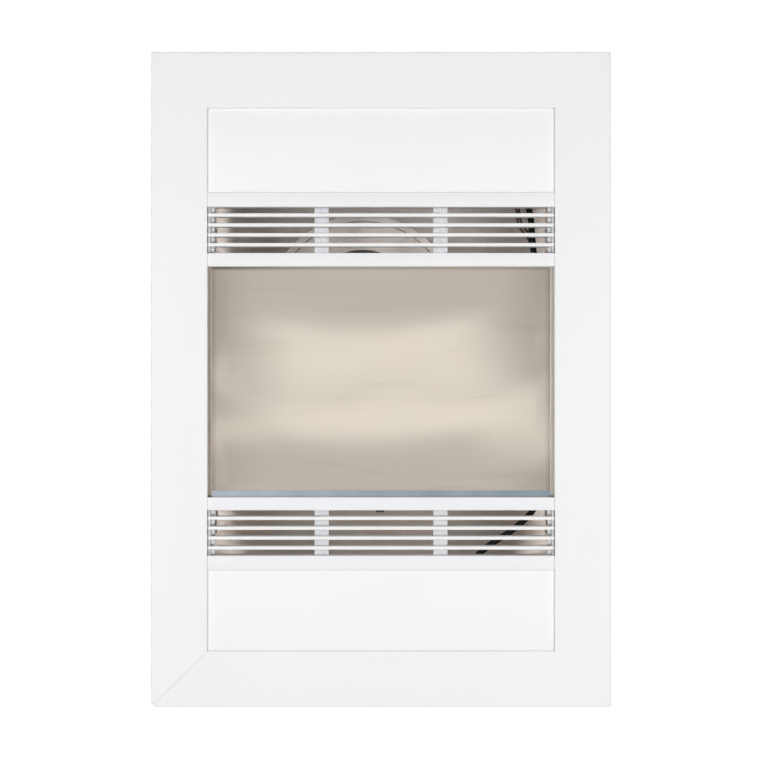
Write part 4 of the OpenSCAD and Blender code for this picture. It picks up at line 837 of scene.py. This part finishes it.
# The rails' level edges, from the top one down, are moved this far to where their seams are seen
edge_moves = {"upper_grille": (0.0006, -0.0005, -0.0007, -0.0008),
              "lower_grille": (-0.0006, -0.0004, 0.0, -0.0011)}
# Powder coat on extruded aluminium, white and satin. The bars' coat is a little brighter.
grille_coat = powder_coat("bright_white_powder_coat", "#F2F2F4", 0.42)
bar_coat = powder_coat("bar_white_powder_coat", "#F6F6F5", 0.4)
# Anodised aluminium looks pale grey and silky, darker than the white coat partly as painted shade
# between the bars; the end plates' zinc grey and matt, and the nylon pads are glossy white
anodised_grey_and_shade = grained("silver_anodised_with_painted_shade", "#E2E2E6", "#E9E9ED", (0.0012, 0.02, 0.02), 0.35, 0.5,
                   Metallic=0.25, IOR=1.5)
end_zinc = grained("grey_zinc_end_plate", "#B6B6B8", "#C4C4C6", 0.002, 0.4, 0.55, Metallic=0.5)
pad_plastic = grained("white_nylon_pad", "#DCDCDD", "#E6E6E6", 0.001, 0.2, 0.3, IOR=1.53)

for grille in ("upper_grille", "lower_grille"):
    prefix = grille.replace("_grille", "")
    rails = shaped_copy(grille + "_rails", prefix + "_rails")
    low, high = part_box(grille + "_rails")
    cross_low, cross_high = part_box(grille + "_crossbars")
    for side, edge in ((-1, low.x), (1, high.x)):
        shift(rails, lambda v: abs(v.co.x - edge) < near, (side * side_stretch, 0, 0))
    seams = (high.z, cross_high.z, cross_low.z, low.z)
    for seam, move in zip(seams, edge_moves[grille]):
        shift(rails, lambda v: abs(v.co.z - seam) < near, (0, 0, move))
    round_edges(rails, rail_edge, 3, lambda e: front_edge(e, low.y, X))
    smooth(rails)
    fit(rails, grille_coat, grille, "grille_white", grille + "_rails")

    bars = shaped_copy(grille + "_blades", prefix + "_bars")
    bar_low, bar_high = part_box(grille + "_blades")
    for side, edge in ((-1, bar_low.x), (1, bar_high.x)):
        shift(bars, lambda v: abs(v.co.x - edge) < near, (side * bar_tenon, 0, 0))
    shift(bars, lambda v: True, (0, 0, -bar_drop))
    round_edges(bars, bar_edge, 4, lambda e: front_edge(e, bar_low.y, X))
    smooth(bars)
    fit(bars, bar_coat, grille, "grille_white", grille + "_blades")

    cross_foot = cross_low.z + edge_moves[grille][2]
    cross_head = cross_high.z + edge_moves[grille][1]
    cross = block(prefix + "_crossbars", (cross_high.x - crossbar_w, cross_low.y, cross_foot),
                  (cross_high.x, cross_high.y, cross_head))
    bpy.ops.object.mode_set(mode="EDIT")
    strip = crossbar_w / (2 * slot_columns + 1)
    row = (cross_head - cross_foot) / slot_rows
    cut_across([(X, cross_high.x - i * strip) for i in range(1, 2 * slot_columns + 1)])
    cut_across([(Z, cross_foot + i * row) for i in range(1, slot_rows)])
    pick(cross, "FACE", lambda f: f.normal.y < -0.9 and int(
        (cross_high.x - f.calc_center_median().x) / strip) % 2 == 1)
    bpy.ops.mesh.inset(thickness=slot_margin, depth=-slot_depth, use_individual=True)
    bpy.ops.mesh.select_all(action="SELECT")
    bpy.ops.mesh.duplicate()
    bpy.ops.transform.translate(value=(cross_low.x + crossbar_w - cross_high.x, 0, 0))
    bpy.ops.object.mode_set(mode="OBJECT")
    fit(cross, anodised_grey_and_shade, grille, "crossbar_grey", grille + "_crossbars")

    ends = soft_copy(grille + "_end_plates", prefix + "_ends", end_edge)
    fit(ends, end_zinc, grille, "crossbar_grey", grille + "_end_plates")
    gap_pitch = (cross_high.z - cross_low.z + bar_t) / gap_count
    pads = []
    for side in (-1, 1):
        for i in range(gap_count):
            middle_z = cross_low.z + (i + 0.5) * gap_pitch - bar_t / 2 + pad_lift
            bpy.ops.object.select_all(action="DESELECT")
            bpy.ops.mesh.primitive_cylinder_add(
                vertices=20, radius=pad_r, depth=pad_h, rotation=(0, math.pi / 2, 0),
                location=(side * (bar_high.x - pad_h / 2), pad_y, middle_z))
            pad = bpy.context.active_object
            bpy.ops.object.transform_apply(location=True, rotation=True, scale=True)
            bpy.ops.object.mode_set(mode="EDIT")
            pick(pad, "EDGE", lambda e: all(v.co.x * side < bar_high.x - pad_h / 2 for v in e.verts))
            bpy.ops.mesh.bevel(offset=pad_dome, segments=5, profile=0.5, affect="EDGES")
            bpy.ops.object.mode_set(mode="OBJECT")
            pads.append(pad)
    for pad in pads:
        pad.select_set(True)
    bpy.ops.object.join()
    pads = bpy.context.active_object
    pads.name = pads.data.name = prefix + "_pads"
    smooth(pads)
    fit(pads, pad_plastic, grille, "grille_white")
    dress(zinc_plate, grille + "_springs")


# Fascia panels
# Folded steel trays, enamelled smooth white, clip in above and below the grilles and cover the
# wiring and the capacitor.
tray_edge = 0.00045
# Baked enamel on steel, the brightest and the most matt of the whites
enamel = powder_coat("smooth_white_enamel", "#F7F7F7", 0.5)
# Each panel's top and foot edges are moved this far, towards the trim or after the grille's rail
for fascia, top_move, foot_move in (("upper_fascia", side_stretch, 0.0004),
                                    ("lower_fascia", -0.0009, -side_stretch)):
    node = fascia + "_panel"
    tray = shaped_copy(node, fascia.replace("fascia", "cover"))
    low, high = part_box(node)
    for side, edge in ((-1, low.x), (1, high.x)):
        shift(tray, lambda v: abs(v.co.x - edge) < near, (side * side_stretch, 0, 0))
    shift(tray, lambda v: abs(v.co.z - high.z) < near, (0, 0, top_move))
    shift(tray, lambda v: abs(v.co.z - low.z) < near, (0, 0, foot_move))
    round_edges(tray, tray_edge, 3, lambda e: front_edge(e, low.y, X) or front_edge(e, low.y, Z))
    smooth(tray)
    fit(tray, enamel, fascia, "fascia_white", node)
